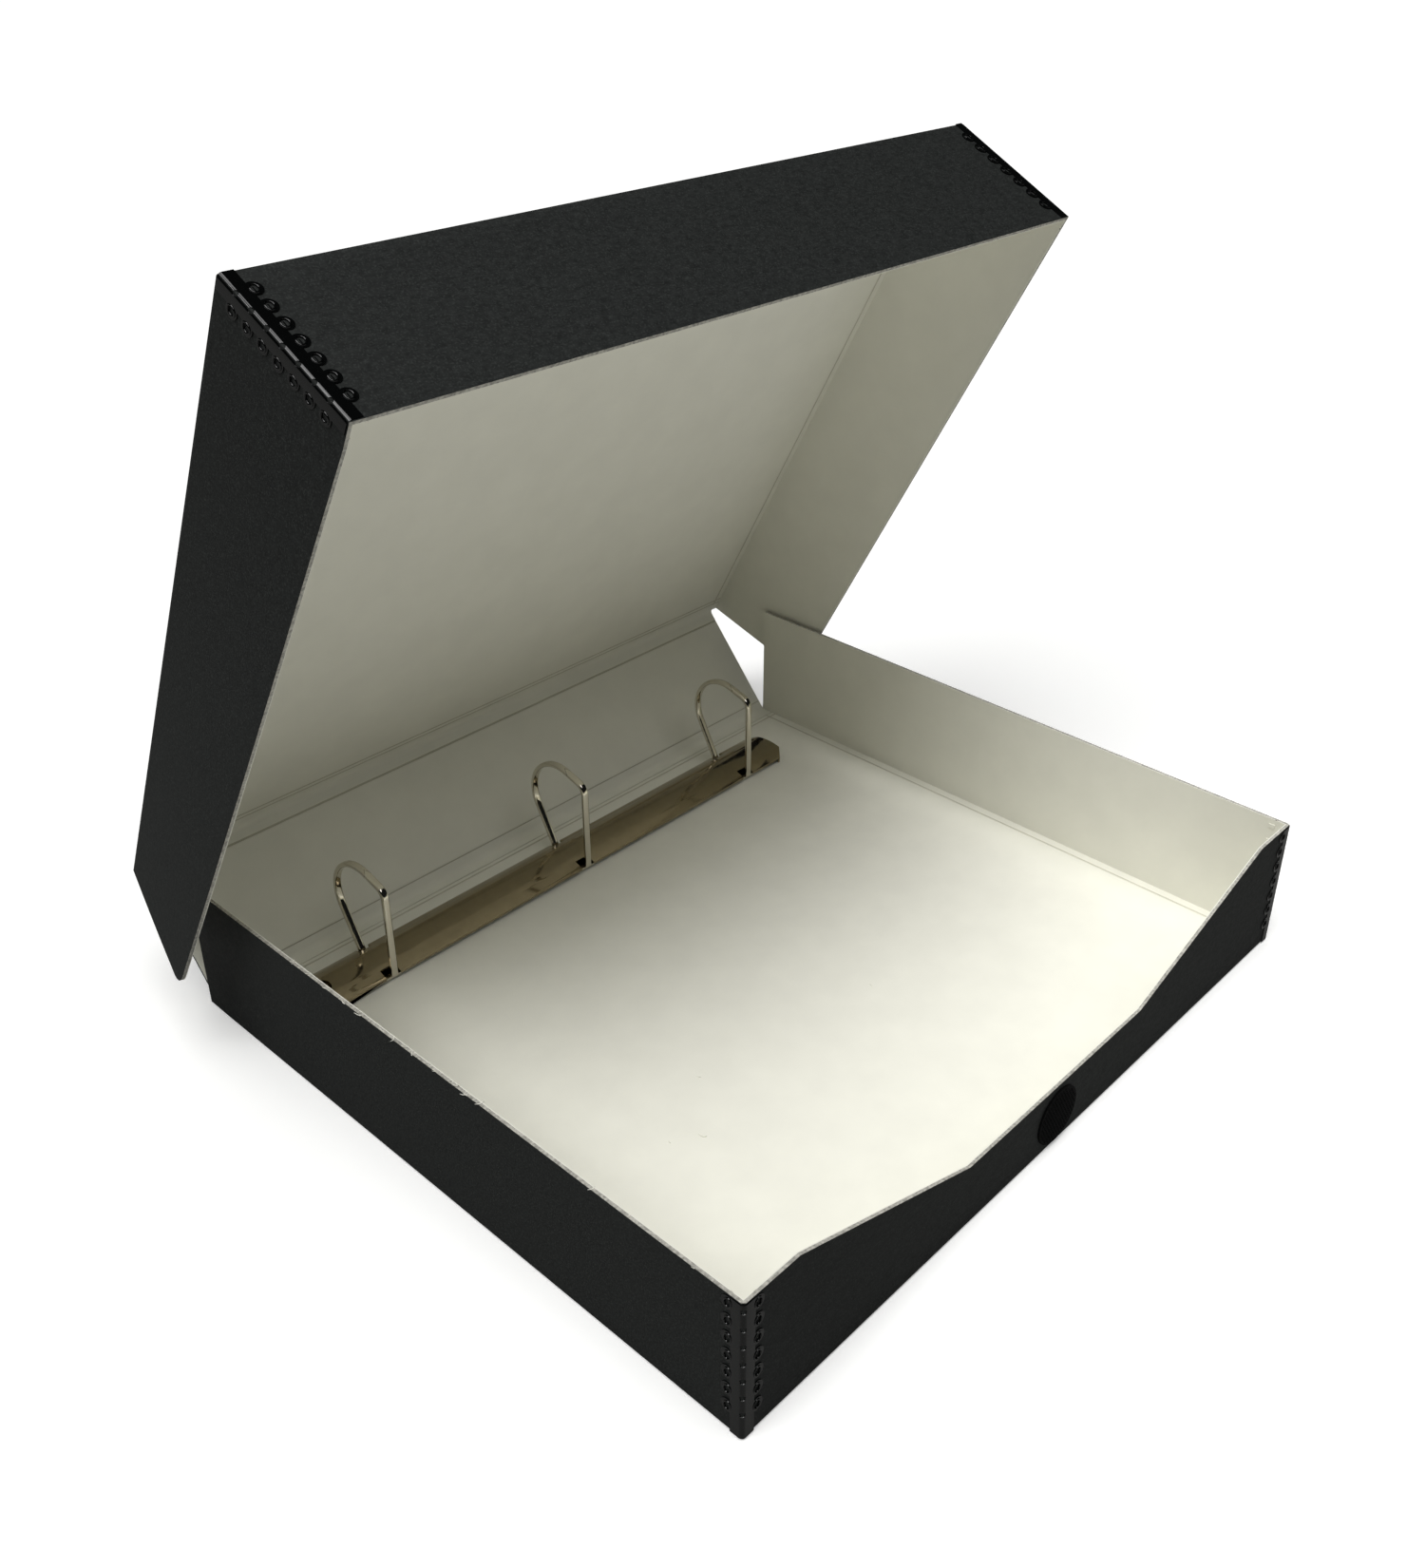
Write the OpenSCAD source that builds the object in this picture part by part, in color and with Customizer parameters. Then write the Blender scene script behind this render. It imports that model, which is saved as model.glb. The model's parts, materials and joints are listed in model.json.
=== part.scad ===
// Clamshell archival binder box: a tray, a spine panel and a lid folded from lined board,
// held at the front corners by stamped metal edges, with a three-ring D mechanism riveted
// to the floor. Row frame: +X along the spine, front at -Y, +Z up, millimetres.
// The origin lies on the underside of the tray, midway from its front to the rear crease.

/* [Board] */
// Thickness of the black outer board
board_t = 1.2; // [0.8:0.1:2]
// Thickness of the white lining paper
lining_t = 0.3; // [0.2:0.05:0.5]
// Gap between a panel's end and the crease bead it turns on
crease_gap = 0.3; // [0.2:0.05:0.6]

/* [Tray] */
// Outside width of the tray, along the spine
base_w = 335; // [320:1:420]
// Outside depth of the tray, from its front to the rear crease
base_d = 292; // [240:1:360]
// Outside height of the tray walls
base_h = 59; // [54:0.5:80]
// Width of the front cut-down at the top
cut_top_w = 286; // [240:1:290]
// Width of the flat bottom of the front cut-down
cut_low_w = 110; // [60:1:160]
// Height of the flat bottom of the front cut-down
cut_low_z = 28.5; // [24:0.5:36]

/* [Spine and lid] */
// Room between the tray rims and the lid's inner face when closed
rim_room = 2.2; // [0.8:0.1:4]
// Side gap between the tray walls and the lid walls when closed
side_room = 1.6; // [1:0.1:4]
// Front gap between the tray and the lid when closed, for the fastener dots
front_room = 5.5; // [2.8:0.1:8]
// Height of the lid's rim above the table when closed
lid_rim_z = 0.5; // [0.3:0.1:3]
// Side gap between the spine panel and the tray walls
spine_side_gap = 0.6; // [0.4:0.1:2]
// Angle by which the spine panel leans back from upright
spine_open = 41; // [0:0.5:60]
// Angle by which the lid is raised from level
lid_open = 62.3; // [45:0.1:80]
// Splay of the left lid flap at its free rear end, in degrees
left_splay = 16.5; // [0:0.5:18]
// Splay of the right lid flap at its free rear end, in degrees
right_splay = 0; // [0:0.5:18]
// Slant of the free rear ends of the lid flaps, in degrees
flap_slant = 11.5; // [0:0.5:20]
// Corner radius of the free rear ends of the lid flaps
flap_corner_r = 8; // [3:0.5:12]

/* [Metal edges] */
// Thickness of the steel strip
edge_t = 0.35; // [0.25:0.05:0.6]
// Reach of the strip from the corner to its scallops
edge_reach = 8.6; // [7:0.1:12]
// Number of scallops, eyes and prongs on each side
edge_count = 7; // [3:1:8]
// Distance from one eye to the next
edge_pitch = 7.4; // [6.5:0.1:7.6]
// Radius of a scallop
scallop_r = 2.7; // [2:0.1:3.2]
// Outer radius of a stamped eye
eye_r = 1.7; // [1.2:0.1:1.9]

/* [Fastener dots] */
// Diameter of the hook and loop dots
dot_d = 24; // [14:1:25]
// Thickness of one dot
dot_t = 1.2; // [0.6:0.1:1.3]
// Height of the dots above the table when closed
dot_z = 14; // [13:0.5:15]

/* [Ring mechanism] */
// Distance from one ring to the next
ring_pitch = 107.95; // [80:0.05:110]
// Distance from the rear crease to the middle of the mechanism
mech_back = 30.5; // [30.5:0.5:60]
// Length of the housing
housing_l = 279; // [270:1:290]
// Shift of the housing's middle towards the left end
housing_shift = 4; // [0:0.5:6]
// Width of the housing
housing_w = 24.8; // [24.8:0.1:27]
// Height of the housing's crown above the floor
housing_h = 5.7; // [5.6:0.1:7]
// Height of the housing's side skirts
skirt_h = 2.9; // [2.8:0.1:3.4]
// Thickness of the housing's sheet steel
sheet_t = 0.7; // [0.5:0.05:0.8]
// Radius of the ring's round part, on its centre line
ring_r = 18; // [16:0.2:18.8]
// Height of the middle of the ring's round part above the floor
ring_mid_h = 29.5; // [28:0.5:31]
// Height of the bend at the top of the straight leg above the floor
bend_h = 43.5; // [42:0.5:45]
// Radius of that bend, on its centre line
bend_r = 5; // [2:0.1:6]
// Thickness of the ring wire in the plane of the ring
wire_t = 2.2; // [1.6:0.1:2.4]
// Width of the ring wire along the spine
wire_w = 3.4; // [2.4:0.1:4]
// Gap between the two halves of a ring where they meet
split_gap = 0.3; // [0.2:0.05:0.6]
// Diameter of the rivets' tubes
rivet_d = 4; // [3:0.1:5]

/* [Hidden] */

BLACK = "#242525";
WHITE = "#ece9dd";
ENAMEL = "#141516";
NICKEL = "#b6b2a4";
FELT = "#0c0c0c";

eps = 0.01;
cut = 1;
wall_t = board_t + lining_t;
bead_r = wall_t / 2;
crease_y = base_d / 2;
front_y = -base_d / 2;
spine_h = base_h + rim_room;
spine_w = base_w - 2 * (wall_t + spine_side_gap);
lid_w = base_w + 2 * (side_room + wall_t);
lid_d = base_d + front_room + wall_t;
lid_h = spine_h + wall_t - lid_rim_z;
panel_end = bead_r + crease_gap;

mech_y = crease_y - mech_back;
floor_z = wall_t;
leaf_t = 0.8;
leaf_lift = 0.9;
leaf_reach = 11.4;
leaf_gap = 0.4;
leg_reach = 11;
round_shift = 5.6;
leaf_z = floor_z + leaf_lift;
leaf_top = leaf_z + leaf_t;
housing_x = -housing_shift;
pad_inset = 6.5;
pad_r = 6;
pad_h = 1.7;
rivet_head_r = 4.5;
rivet_head_t = 0.6;
rivet_flange_r = 4.2;
rivet_flange_t = 0.7;
rivet_bore_r = 1.4;
rivet_clear = 0.1;
RING_XS = [-ring_pitch, 0, ring_pitch];
RIVET_XS = [housing_x - housing_l / 2 + pad_inset, housing_x + housing_l / 2 - pad_inset];

// ---- Places and helpers ----

// Draws a profile of (y, z) points and runs it along X, centred on x.
module along_x(x, length) {
  translate([x - length / 2, 0, 0]) rotate([90, 0, 90]) linear_extrude(length) children();
}

// Takes a piece drawn with the box shut, from the rear crease, to its place in the open box.
module in_spine() {
  translate([0, crease_y, bead_r]) rotate([-spine_open, 0, 0]) children();
}

// The same for a piece of the lid, drawn from the upper crease.
module in_lid() {
  translate([0, crease_y + spine_h * sin(spine_open), bead_r + spine_h * cos(spine_open)])
    rotate([-lid_open, 0, 0]) children();
}

// A block given by its low and high corners.
module block(low, high) {
  translate(low) cube(high - low);
}

// ---- Tray ----

// The front panel's outline with its cut-down, from below the floor to the rim.
module front_outline(low) {
  half = base_w / 2;
  polygon([[-half, low], [half, low], [half, base_h], [cut_top_w / 2, base_h],
    [cut_low_w / 2, cut_low_z], [-cut_low_w / 2, cut_low_z], [-cut_top_w / 2, base_h],
    [-half, base_h]]);
}

// A folded tray: floor, two side walls and the front wall, t thick, set in from the outside.
module tray(inset, t) {
  half = base_w / 2 - inset;
  front = front_y + inset;
  floor_end = crease_y - panel_end;
  wall_end = crease_y + bead_r;
  block([-half, front, inset], [half, floor_end, inset + t]);
  for (side = [-1, 1])
    block([side < 0 ? -half : half - t, front, inset],
      [side < 0 ? -half + t : half, wall_end, base_h]);
  intersection() {
    translate([0, front + t, 0]) rotate([90, 0, 0]) linear_extrude(t) front_outline(inset);
    block([-half, front - cut, 0], [half, front + t + cut, base_h + cut]);
  }
}

module rivet_holes(z0) {
  for (x = RIVET_XS)
    translate([x, mech_y, z0])
      cylinder(r = rivet_d / 2 + rivet_clear, h = wall_t + cut, $fn = 48);
}

module base_board() {
  color(BLACK) difference() {
    tray(0, board_t);
    base_prongs();
    rivet_holes(-cut);
    for (x = RIVET_XS)
      translate([x, mech_y, -cut])
        cylinder(r = rivet_head_r + rivet_clear, h = rivet_head_t + cut, $fn = 48);
  }
}

module base_lining() {
  color(WHITE) difference() {
    tray(board_t, lining_t);
    base_prongs();
    rivet_holes(0);
  }
}

// ---- Metal edges: drawn on the corner line, one leg along +X and one along +Y ----

prong_w = 1.8;
prong_t = 0.4;
clinch_l = 2.4;
edge_inset = 0.5;
scallop_root = 1.6;
eye_x = edge_reach - scallop_r;
eye_raise = 0.25;
eye_bore_r = 0.9;

tray_eye_shift = 4;
eye_span = (edge_count - 1) * edge_pitch;

// How far the eyes of an edge may be set above the middle of its height.
function eye_shift(height, shift) =
  max(0, min(shift, height / 2 - eye_span / 2 - scallop_r - edge_inset));
function eye_z(i, height, shift) =
  height / 2 - eye_span / 2 + i * edge_pitch + eye_shift(height, shift);

// One prong: through the wall beside the corner, then clinched flat against the lining.
module prong(z) {
  low = z - prong_w / 2;
  high = z + prong_w / 2;
  block([eye_x - prong_t / 2, -eps, low], [eye_x + prong_t / 2, wall_t, high]);
  block([eye_x - prong_t / 2, wall_t, low], [eye_x + clinch_l, wall_t + edge_t, high]);
}

module edge_prongs(height, shift) {
  for (i = [0 : edge_count - 1]) {
    prong(eye_z(i, height, shift));
    mirror([1, -1, 0]) prong(eye_z(i, height, shift));
  }
}

// One leg of the strip, lying on the outside of the wall that runs along +X.
module edge_leg(height, shift) {
  band = edge_reach - 2 * scallop_r + scallop_root;
  block([0, -edge_t, edge_inset], [band, 0, height - edge_inset]);
  for (i = [0 : edge_count - 1])
    translate([eye_x, 0, eye_z(i, height, shift)]) rotate([90, 0, 0]) {
      cylinder(r = scallop_r, h = edge_t, $fn = 48);
      difference() {
        cylinder(r = eye_r, h = edge_t + eye_raise, $fn = 48);
        translate([0, 0, edge_t]) cylinder(r = eye_bore_r, h = cut, $fn = 48);
      }
    }
}

module metal_edge(height, shift) {
  color(ENAMEL) union() {
    edge_leg(height, shift);
    mirror([1, -1, 0]) edge_leg(height, shift);
    block([-edge_t, -edge_t, edge_inset], [eps, eps, height - edge_inset]);
    edge_prongs(height, shift);
  }
}

// Places what is drawn at the left front corner of a tray of the given width on either side.
module at_corner(side, width, front) {
  mirror([side > 0 ? 1 : 0, 0, 0]) translate([-width / 2, front, 0]) children();
}

module base_prongs() {
  for (side = [-1, 1]) at_corner(side, base_w, front_y)
    edge_prongs(base_h, tray_eye_shift);
}

module base_left_metal_edge() {
  at_corner(-1, base_w, front_y) metal_edge(base_h, tray_eye_shift);
}

module base_right_metal_edge() {
  at_corner(1, base_w, front_y) metal_edge(base_h, tray_eye_shift);
}

module hook_dot() {
  color(FELT) translate([0, front_y, dot_z]) rotate([90, 0, 0])
    cylinder(d = dot_d, h = dot_t, $fn = 64);
}

// ---- Spine: drawn upright from the rear crease, inner face at -Y ----

module spine_board() {
  color(BLACK) in_spine() union() {
    block([-spine_w / 2, lining_t - bead_r, 0], [spine_w / 2, bead_r, spine_h]);
    for (z = [0, spine_h])
      translate([0, 0, z]) rotate([0, 90, 0])
        cylinder(r = bead_r, h = spine_w, center = true, $fn = 48);
  }
}

module spine_lining() {
  color(WHITE) in_spine()
    block([-spine_w / 2, -bead_r, bead_r], [spine_w / 2, lining_t - bead_r, spine_h - bead_r]);
}

// ---- Lid: drawn shut from the upper crease, so that it runs to -Y and its walls hang to -Z ----

FLAP_STEPS = 14;
CORNER_STEPS = 5;
flap_grip = 1;

// A flap is splayed at its free rear end and square to the lid where the metal edge grips it.
flap_grip_y = edge_reach + flap_grip - lid_d;
function flap_splay(y, splay) = splay * max(0, 1 - y / flap_grip_y);

// The place along the lid of a flap's column c, from its rear end to the front wall.
function flap_y(rear, c) =
  c == FLAP_STEPS ? board_t - lid_d : rear + (flap_grip_y - rear) * c / (FLAP_STEPS - 1);

// Where a flap's slanted rear end lies at a depth below the lid's top face.
function flap_end(depth) = -panel_end - depth * tan(flap_slant);

// The rear end of a flap as (y, depth), from the lining's top down round the corner to the rim.
FLAP_ROWS = [
  for (i = [0 : CORNER_STEPS])
    let (depth = board_t + (lid_h - flap_corner_r - board_t) * i / CORNER_STEPS)
      [flap_end(depth), depth],
  for (i = [1 : CORNER_STEPS])
    let (a = 90 * i / CORNER_STEPS, low = lid_h - flap_corner_r)
      [flap_end(low) - flap_corner_r * (1 - cos(a)), low + flap_corner_r * sin(a)]];

// A point of the left flap at y and depth, moved in from its outer face by inset.
function flap_point(y, depth, inset, splay) =
  let (a = flap_splay(y, splay))
    [-lid_w / 2 - depth * sin(a) + inset * cos(a), y, bead_r - depth * cos(a) - inset * sin(a)];

// The left side flap as a closed shell: a grid of outer points, then the same grid moved in by
// t. Columns run from the rear end to the front wall, rows from the top to the rim.
module flap(inset, t, rows, splay) {
  n_rows = len(rows);
  n_columns = FLAP_STEPS + 1;
  points = [
    for (depth_in = [inset, inset + t])
      for (c = [0 : n_columns - 1])
        for (row = rows)
          flap_point(flap_y(row[0], c), row[1], depth_in, splay)];
  function at(face, c, r) = (face * n_columns + c) * n_rows + r;
  function quad(a, b, c, d) = [[a, b, c], [a, c, d]];
  end_c = n_columns - 1;
  end_r = n_rows - 1;
  faces = concat(
    [for (c = [0 : end_c - 1], r = [0 : end_r - 1])
      each quad(at(0, c, r), at(0, c + 1, r), at(0, c + 1, r + 1), at(0, c, r + 1))],
    [for (c = [0 : end_c - 1], r = [0 : end_r - 1])
      each [[at(1, c, r), at(1, c + 1, r + 1), at(1, c + 1, r)],
        [at(1, c, r), at(1, c, r + 1), at(1, c + 1, r + 1)]]],
    [for (c = [0 : end_c - 1])
      each quad(at(0, c, 0), at(1, c, 0), at(1, c + 1, 0), at(0, c + 1, 0))],
    [for (c = [0 : end_c - 1])
      each quad(at(0, c, end_r), at(0, c + 1, end_r), at(1, c + 1, end_r), at(1, c, end_r))],
    [for (r = [0 : end_r - 1])
      each quad(at(0, 0, r), at(0, 0, r + 1), at(1, 0, r + 1), at(1, 0, r))],
    [for (r = [0 : end_r - 1])
      each quad(at(0, end_c, r), at(1, end_c, r), at(1, end_c, r + 1), at(0, end_c, r + 1))]);
  polyhedron(points, faces);
}

// The folded lid: top panel, front wall and two side flaps, t thick, set in from the outside.
module cover(inset, t, rows) {
  half = lid_w / 2 - inset;
  front = -lid_d + inset;
  top = bead_r - inset;
  block([-half, front, top - t], [half, -panel_end, top]);
  block([-half, front, bead_r - lid_h], [half, front + t, top]);
  flap(inset, t, rows, left_splay);
  mirror([1, 0, 0]) flap(inset, t, rows, right_splay);
}

module lid_prongs() {
  for (side = [-1, 1])
    at_corner(side, lid_w, -lid_d) translate([0, 0, bead_r - lid_h]) edge_prongs(lid_h, 0);
}

module lid_board() {
  color(BLACK) in_lid() difference() {
    cover(0, board_t, concat([[flap_end(0), 0]], FLAP_ROWS));
    lid_prongs();
  }
}

module lid_lining() {
  color(WHITE) in_lid() difference() {
    cover(board_t, lining_t, FLAP_ROWS);
    lid_prongs();
  }
}

module lid_left_metal_edge() {
  in_lid() at_corner(-1, lid_w, -lid_d) translate([0, 0, bead_r - lid_h]) metal_edge(lid_h, 0);
}

module lid_right_metal_edge() {
  in_lid() at_corner(1, lid_w, -lid_d) translate([0, 0, bead_r - lid_h]) metal_edge(lid_h, 0);
}

module loop_dot() {
  color(FELT) in_lid() translate([0, wall_t - lid_d + dot_t, dot_z - bead_r - spine_h])
    rotate([90, 0, 0]) cylinder(d = dot_d, h = dot_t, $fn = 64);
}

// ---- Ring mechanism: profiles in (y, z) about the middle of the mechanism ----

crown_r = (pow(housing_w / 2, 2) + pow(housing_h - skirt_h, 2)) / (2 * (housing_h - skirt_h));

// Cross-section of the housing's outside, drawn in by t.
module housing_section(t) {
  intersection() {
    translate([0, floor_z + housing_h - crown_r]) circle(r = crown_r - t, $fn = 180);
    translate([t - housing_w / 2, floor_z - cut])
      square([housing_w - 2 * t, housing_h + cut + cut]);
  }
}

// Plan of the housing, drawn in by t: a round left end and a chamfered right end.
module housing_plan(t) {
  half = housing_w / 2 - t;
  left = housing_x - housing_l / 2 + housing_w / 2;
  right = housing_x + housing_l / 2 - t;
  chamfer = 5;
  translate([left, 0]) circle(r = half, $fn = 96);
  polygon([[left, -half], [right - chamfer, -half], [right, chamfer - half],
    [right, half - chamfer], [right - chamfer, half], [left, half]]);
}

module housing_solid(t) {
  intersection() {
    along_x(housing_x, housing_l + cut) housing_section(t);
    linear_extrude(floor_z + housing_h + cut) housing_plan(t);
  }
}

lip_w = 1.6;
lip_t = 0.6;
notch_w = wire_w + 1.4;
notch_in = 3.2;

module ring_housing() {
  color(NICKEL) translate([0, mech_y, 0]) difference() {
    union() {
      difference() {
        housing_solid(0);
        difference() {
          housing_solid(sheet_t);
          for (side = [0, 1]) mirror([0, side, 0])
            block([-housing_l, housing_w / 2 - sheet_t - lip_w, 0],
              [housing_l, housing_w, floor_z + lip_t]);
        }
        block([-housing_l, -housing_w, -cut], [housing_l, housing_w, floor_z]);
      }
      for (x = RIVET_XS) intersection() {
        translate([x, 0, floor_z]) cylinder(r = pad_r, h = housing_h, $fn = 64);
        housing_solid(0);
      }
    }
    for (x = RIVET_XS) {
      translate([x, 0, floor_z + pad_h]) cylinder(r = pad_r - sheet_t, h = housing_h, $fn = 64);
      translate([x, 0, 0]) cylinder(r = rivet_d / 2 + rivet_clear, h = housing_h + cut, $fn = 48);
    }
    for (x = RING_XS, side = [0, 1]) mirror([0, side, 0])
      block([x - notch_w / 2, housing_w / 2 - notch_in, floor_z + lip_t + eps],
        [x + notch_w / 2, housing_w, floor_z + 2 * housing_h]);
  }
}

module mechanism_rivets() {
  color(NICKEL) for (x = RIVET_XS) translate([x, mech_y, 0]) difference() {
    union() {
      cylinder(r = rivet_head_r, h = rivet_head_t, $fn = 48);
      cylinder(r = rivet_d / 2, h = floor_z + pad_h + rivet_flange_t, $fn = 48);
      translate([0, 0, floor_z + pad_h]) cylinder(r = rivet_flange_r, h = rivet_flange_t, $fn = 48);
    }
    translate([0, 0, rivet_head_t + rivet_clear])
      cylinder(r = rivet_bore_r, h = housing_h + cut, $fn = 48);
  }
}

tail_w = 2.4;
tail_t = 1;
tail_reach = 10.4;
tail_below = 0.2;
leaf_margin = 2;

// The peened tail that fixes a ring half in its leaf.
module tail(x, side) {
  block([x - tail_w / 2, side * tail_reach - tail_t / 2, leaf_z - tail_below],
    [x + tail_w / 2, side * tail_reach + tail_t / 2, leaf_top]);
}

module leaf(side) {
  low = RIVET_XS[0] + pad_r + leaf_margin;
  high = RIVET_XS[1] - pad_r - leaf_margin;
  color(NICKEL) translate([0, mech_y, 0]) difference() {
    block([low, side < 0 ? -leaf_reach : leaf_gap / 2, leaf_z],
      [high, side < 0 ? -leaf_gap / 2 : leaf_reach, leaf_top]);
    for (x = RING_XS) tail(x, side);
  }
}

module front_leaf() {
  leaf(-1);
}

module rear_leaf() {
  leaf(1);
}

// The ring's round part is centred at RC; the roof runs from the bend to touch it, and the
// rear leg runs from it to the rear foot. N1 and N2 point from RC to the two touching points.
RC = [round_shift, floor_z + ring_mid_h];
BEND = [-leg_reach, floor_z + bend_h];
FOOT = [leg_reach, leaf_top];

function touch(p, turn) =
  let (v = p - RC, a = atan2(v[1], v[0]) + turn * acos(ring_r / norm(v))) [cos(a), sin(a)];

N1 = touch(BEND, -1);
N2 = touch(FOOT, 1);

// Where the line that touches the circle of radius ring_r + h at normal n meets an upright
// at y, and where it meets a level at z.
function line_z(n, h, y) = RC[1] + (ring_r + h - (y - RC[0]) * n[0]) / n[1];
function line_y(n, h, z) = RC[0] + (ring_r + h - (z - RC[1]) * n[1]) / n[0];

bend_mid = [bend_r - leg_reach, line_z(N1, -bend_r, bend_r - leg_reach)];

// Everything inside the ring's centre line, grown by h.
module ring_shape(h) {
  translate(RC) circle(r = ring_r + h, $fn = 120);
  translate(bend_mid) circle(r = bend_r + h, $fn = 48);
  polygon([RC, RC + (ring_r + h) * N1, bend_mid + (bend_r + h) * N1,
    bend_mid - [bend_r + h, 0], [-leg_reach - h, leaf_top], [line_y(N2, h, leaf_top), leaf_top],
    RC + (ring_r + h) * N2]);
}

split_y = 0;
split_tip = 1.6;

// Everything on the front side of the zig-zag split, moved back by gap.
module front_side(x, gap) {
  far = 60;
  half = wire_w / 2;
  translate([x, 0, 0]) linear_extrude(3 * far)
    polygon([[-half - cut, -far], [half + cut, -far], [half + cut, split_y - split_tip + gap],
      [half, split_y - split_tip + gap], [0, split_y + split_tip + gap],
      [-half, split_y - split_tip + gap], [-half - cut, split_y - split_tip + gap]]);
}

module ring_band(x) {
  along_x(x, wire_w) difference() {
    ring_shape(wire_t / 2);
    ring_shape(-wire_t / 2);
    translate([wire_t / 2 - leg_reach, 0])
      square([line_y(N2, -wire_t / 2, leaf_top) + leg_reach - wire_t / 2, leaf_top + cut]);
  }
}

module ring_half(x, side) {
  color(NICKEL) translate([0, mech_y, 0]) union() {
    tail(x, side);
    if (side < 0) intersection() {
      ring_band(x);
      front_side(x, 0);
    }
    else difference() {
      ring_band(x);
      front_side(x, split_gap);
    }
  }
}

module left_front_ring_half() {
  ring_half(RING_XS[0], -1);
}

module middle_front_ring_half() {
  ring_half(RING_XS[1], -1);
}

module right_front_ring_half() {
  ring_half(RING_XS[2], -1);
}

module left_rear_ring_half() {
  ring_half(RING_XS[0], 1);
}

module middle_rear_ring_half() {
  ring_half(RING_XS[1], 1);
}

module right_rear_ring_half() {
  ring_half(RING_XS[2], 1);
}

base_board();
base_lining();
base_left_metal_edge();
base_right_metal_edge();
hook_dot();
ring_housing();
mechanism_rivets();
front_leaf();
rear_leaf();
left_front_ring_half();
middle_front_ring_half();
right_front_ring_half();
left_rear_ring_half();
middle_rear_ring_half();
right_rear_ring_half();
spine_board();
spine_lining();
lid_board();
lid_lining();
lid_left_metal_edge();
lid_right_metal_edge();
loop_dot();
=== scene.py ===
"""Archival binder box of lined board: folded panels, stamped metal edges, rings and stage."""

import json
import math
import random

import bmesh
import bpy
from mathutils import Euler, Matrix, Vector


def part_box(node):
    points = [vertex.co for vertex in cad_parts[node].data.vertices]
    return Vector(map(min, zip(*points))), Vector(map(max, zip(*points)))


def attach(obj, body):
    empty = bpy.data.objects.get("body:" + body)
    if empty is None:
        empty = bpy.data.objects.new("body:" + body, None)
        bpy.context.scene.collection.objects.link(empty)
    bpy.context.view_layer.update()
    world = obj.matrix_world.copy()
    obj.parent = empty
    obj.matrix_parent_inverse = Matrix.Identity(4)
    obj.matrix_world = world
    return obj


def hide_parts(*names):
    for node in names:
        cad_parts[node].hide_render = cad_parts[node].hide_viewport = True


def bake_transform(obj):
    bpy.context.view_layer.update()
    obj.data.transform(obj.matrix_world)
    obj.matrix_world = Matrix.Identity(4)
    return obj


bl_info = {
    "name": "Archival binder box",
    "version": (1, 0, 0),
    "blender": (4, 5, 0),
    "location": "View3D > Sidebar > Archival box",
    "description": "Builds the boards, linings, metal edges, rings and stage of an archival box",
    "category": "Object",
}

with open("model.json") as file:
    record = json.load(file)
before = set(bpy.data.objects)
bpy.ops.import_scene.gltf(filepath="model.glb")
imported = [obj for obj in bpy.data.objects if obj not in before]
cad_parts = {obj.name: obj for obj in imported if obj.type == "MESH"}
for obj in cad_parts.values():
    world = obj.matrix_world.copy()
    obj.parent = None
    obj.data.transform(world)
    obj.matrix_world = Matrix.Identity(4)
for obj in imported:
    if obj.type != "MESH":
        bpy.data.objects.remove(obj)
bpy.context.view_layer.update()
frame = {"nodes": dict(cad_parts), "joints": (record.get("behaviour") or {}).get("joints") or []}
JOINTS = {joint["name"]: joint for joint in frame["joints"]}
MM = 0.001
BOARD_T = 1.2 * MM
WALL_T = 1.5 * MM
CREASE_Y = JOINTS["spine_crease"]["pos_m"][1]
MECH_Y = (JOINTS["front_leaf_hinge"]["pos_m"][1] + JOINTS["rear_leaf_hinge"]["pos_m"][1]) / 2
LID_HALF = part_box("lid_right_metal_edge")[1].x - 0.35 * MM
MERGE = 2e-6
CREASE_OF = {"spine": "spine_crease", "lid": "lid_crease"}
PREFIX = {"base": "tray", "spine": "spine", "lid": "lid"}


# ---- Sizes and colours a user would change ----


def linear(hex_colour):
    """An sRGB hex colour as a linear RGBA tuple."""
    channels = [int(hex_colour[i : i + 2], 16) / 255 for i in (1, 3, 5)]
    return tuple(
        c / 12.92 if c <= 0.04045 else ((c + 0.055) / 1.055) ** 2.4 for c in channels
    ) + (1.0,)


def colour(name, description, hex_colour):
    """A property that holds a colour."""
    return bpy.props.FloatVectorProperty(
        name=name, description=description, default=linear(hex_colour),
        size=4, min=0, max=1, subtype="COLOR",
    )


def length(name, description, millimetres):
    """A property that holds a length."""
    return bpy.props.FloatProperty(
        name=name, description=description, default=millimetres * MM,
        subtype="DISTANCE", unit="LENGTH",
    )


class ArchivalColours(bpy.types.PropertyGroup):
    """The colours of the finishes"""

    board: colour("Board", "Face of the black board", "#252726")
    fleck: colour("Flecks", "Pale fibres in the black board", "#3A3D3B")
    cut_edge: colour("Cut edge", "Pulp seen on a guillotined edge", "#A9A79F")
    lining: colour("Lining", "White lining paper", "#ECEBE0")
    # Painted shade: this darker paper colour is laid in the score grooves to stand for the shade
    # that falls in them.
    painted_score_shade: colour("Scores", "Lining paper burnished in a score", "#CDCABB")
    plate: colour("Ring plate", "Nickel plate of the rings and eyelets", "#D5D0C3")
    housing: colour("Housing plate", "Nickel plate of the pressed housing", "#9B8F77")
    enamel: colour("Enamel", "Enamel of the metal edges", "#060707")
    felt: colour("Tape", "Hook tape of the fastener dots", "#050505")


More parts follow.
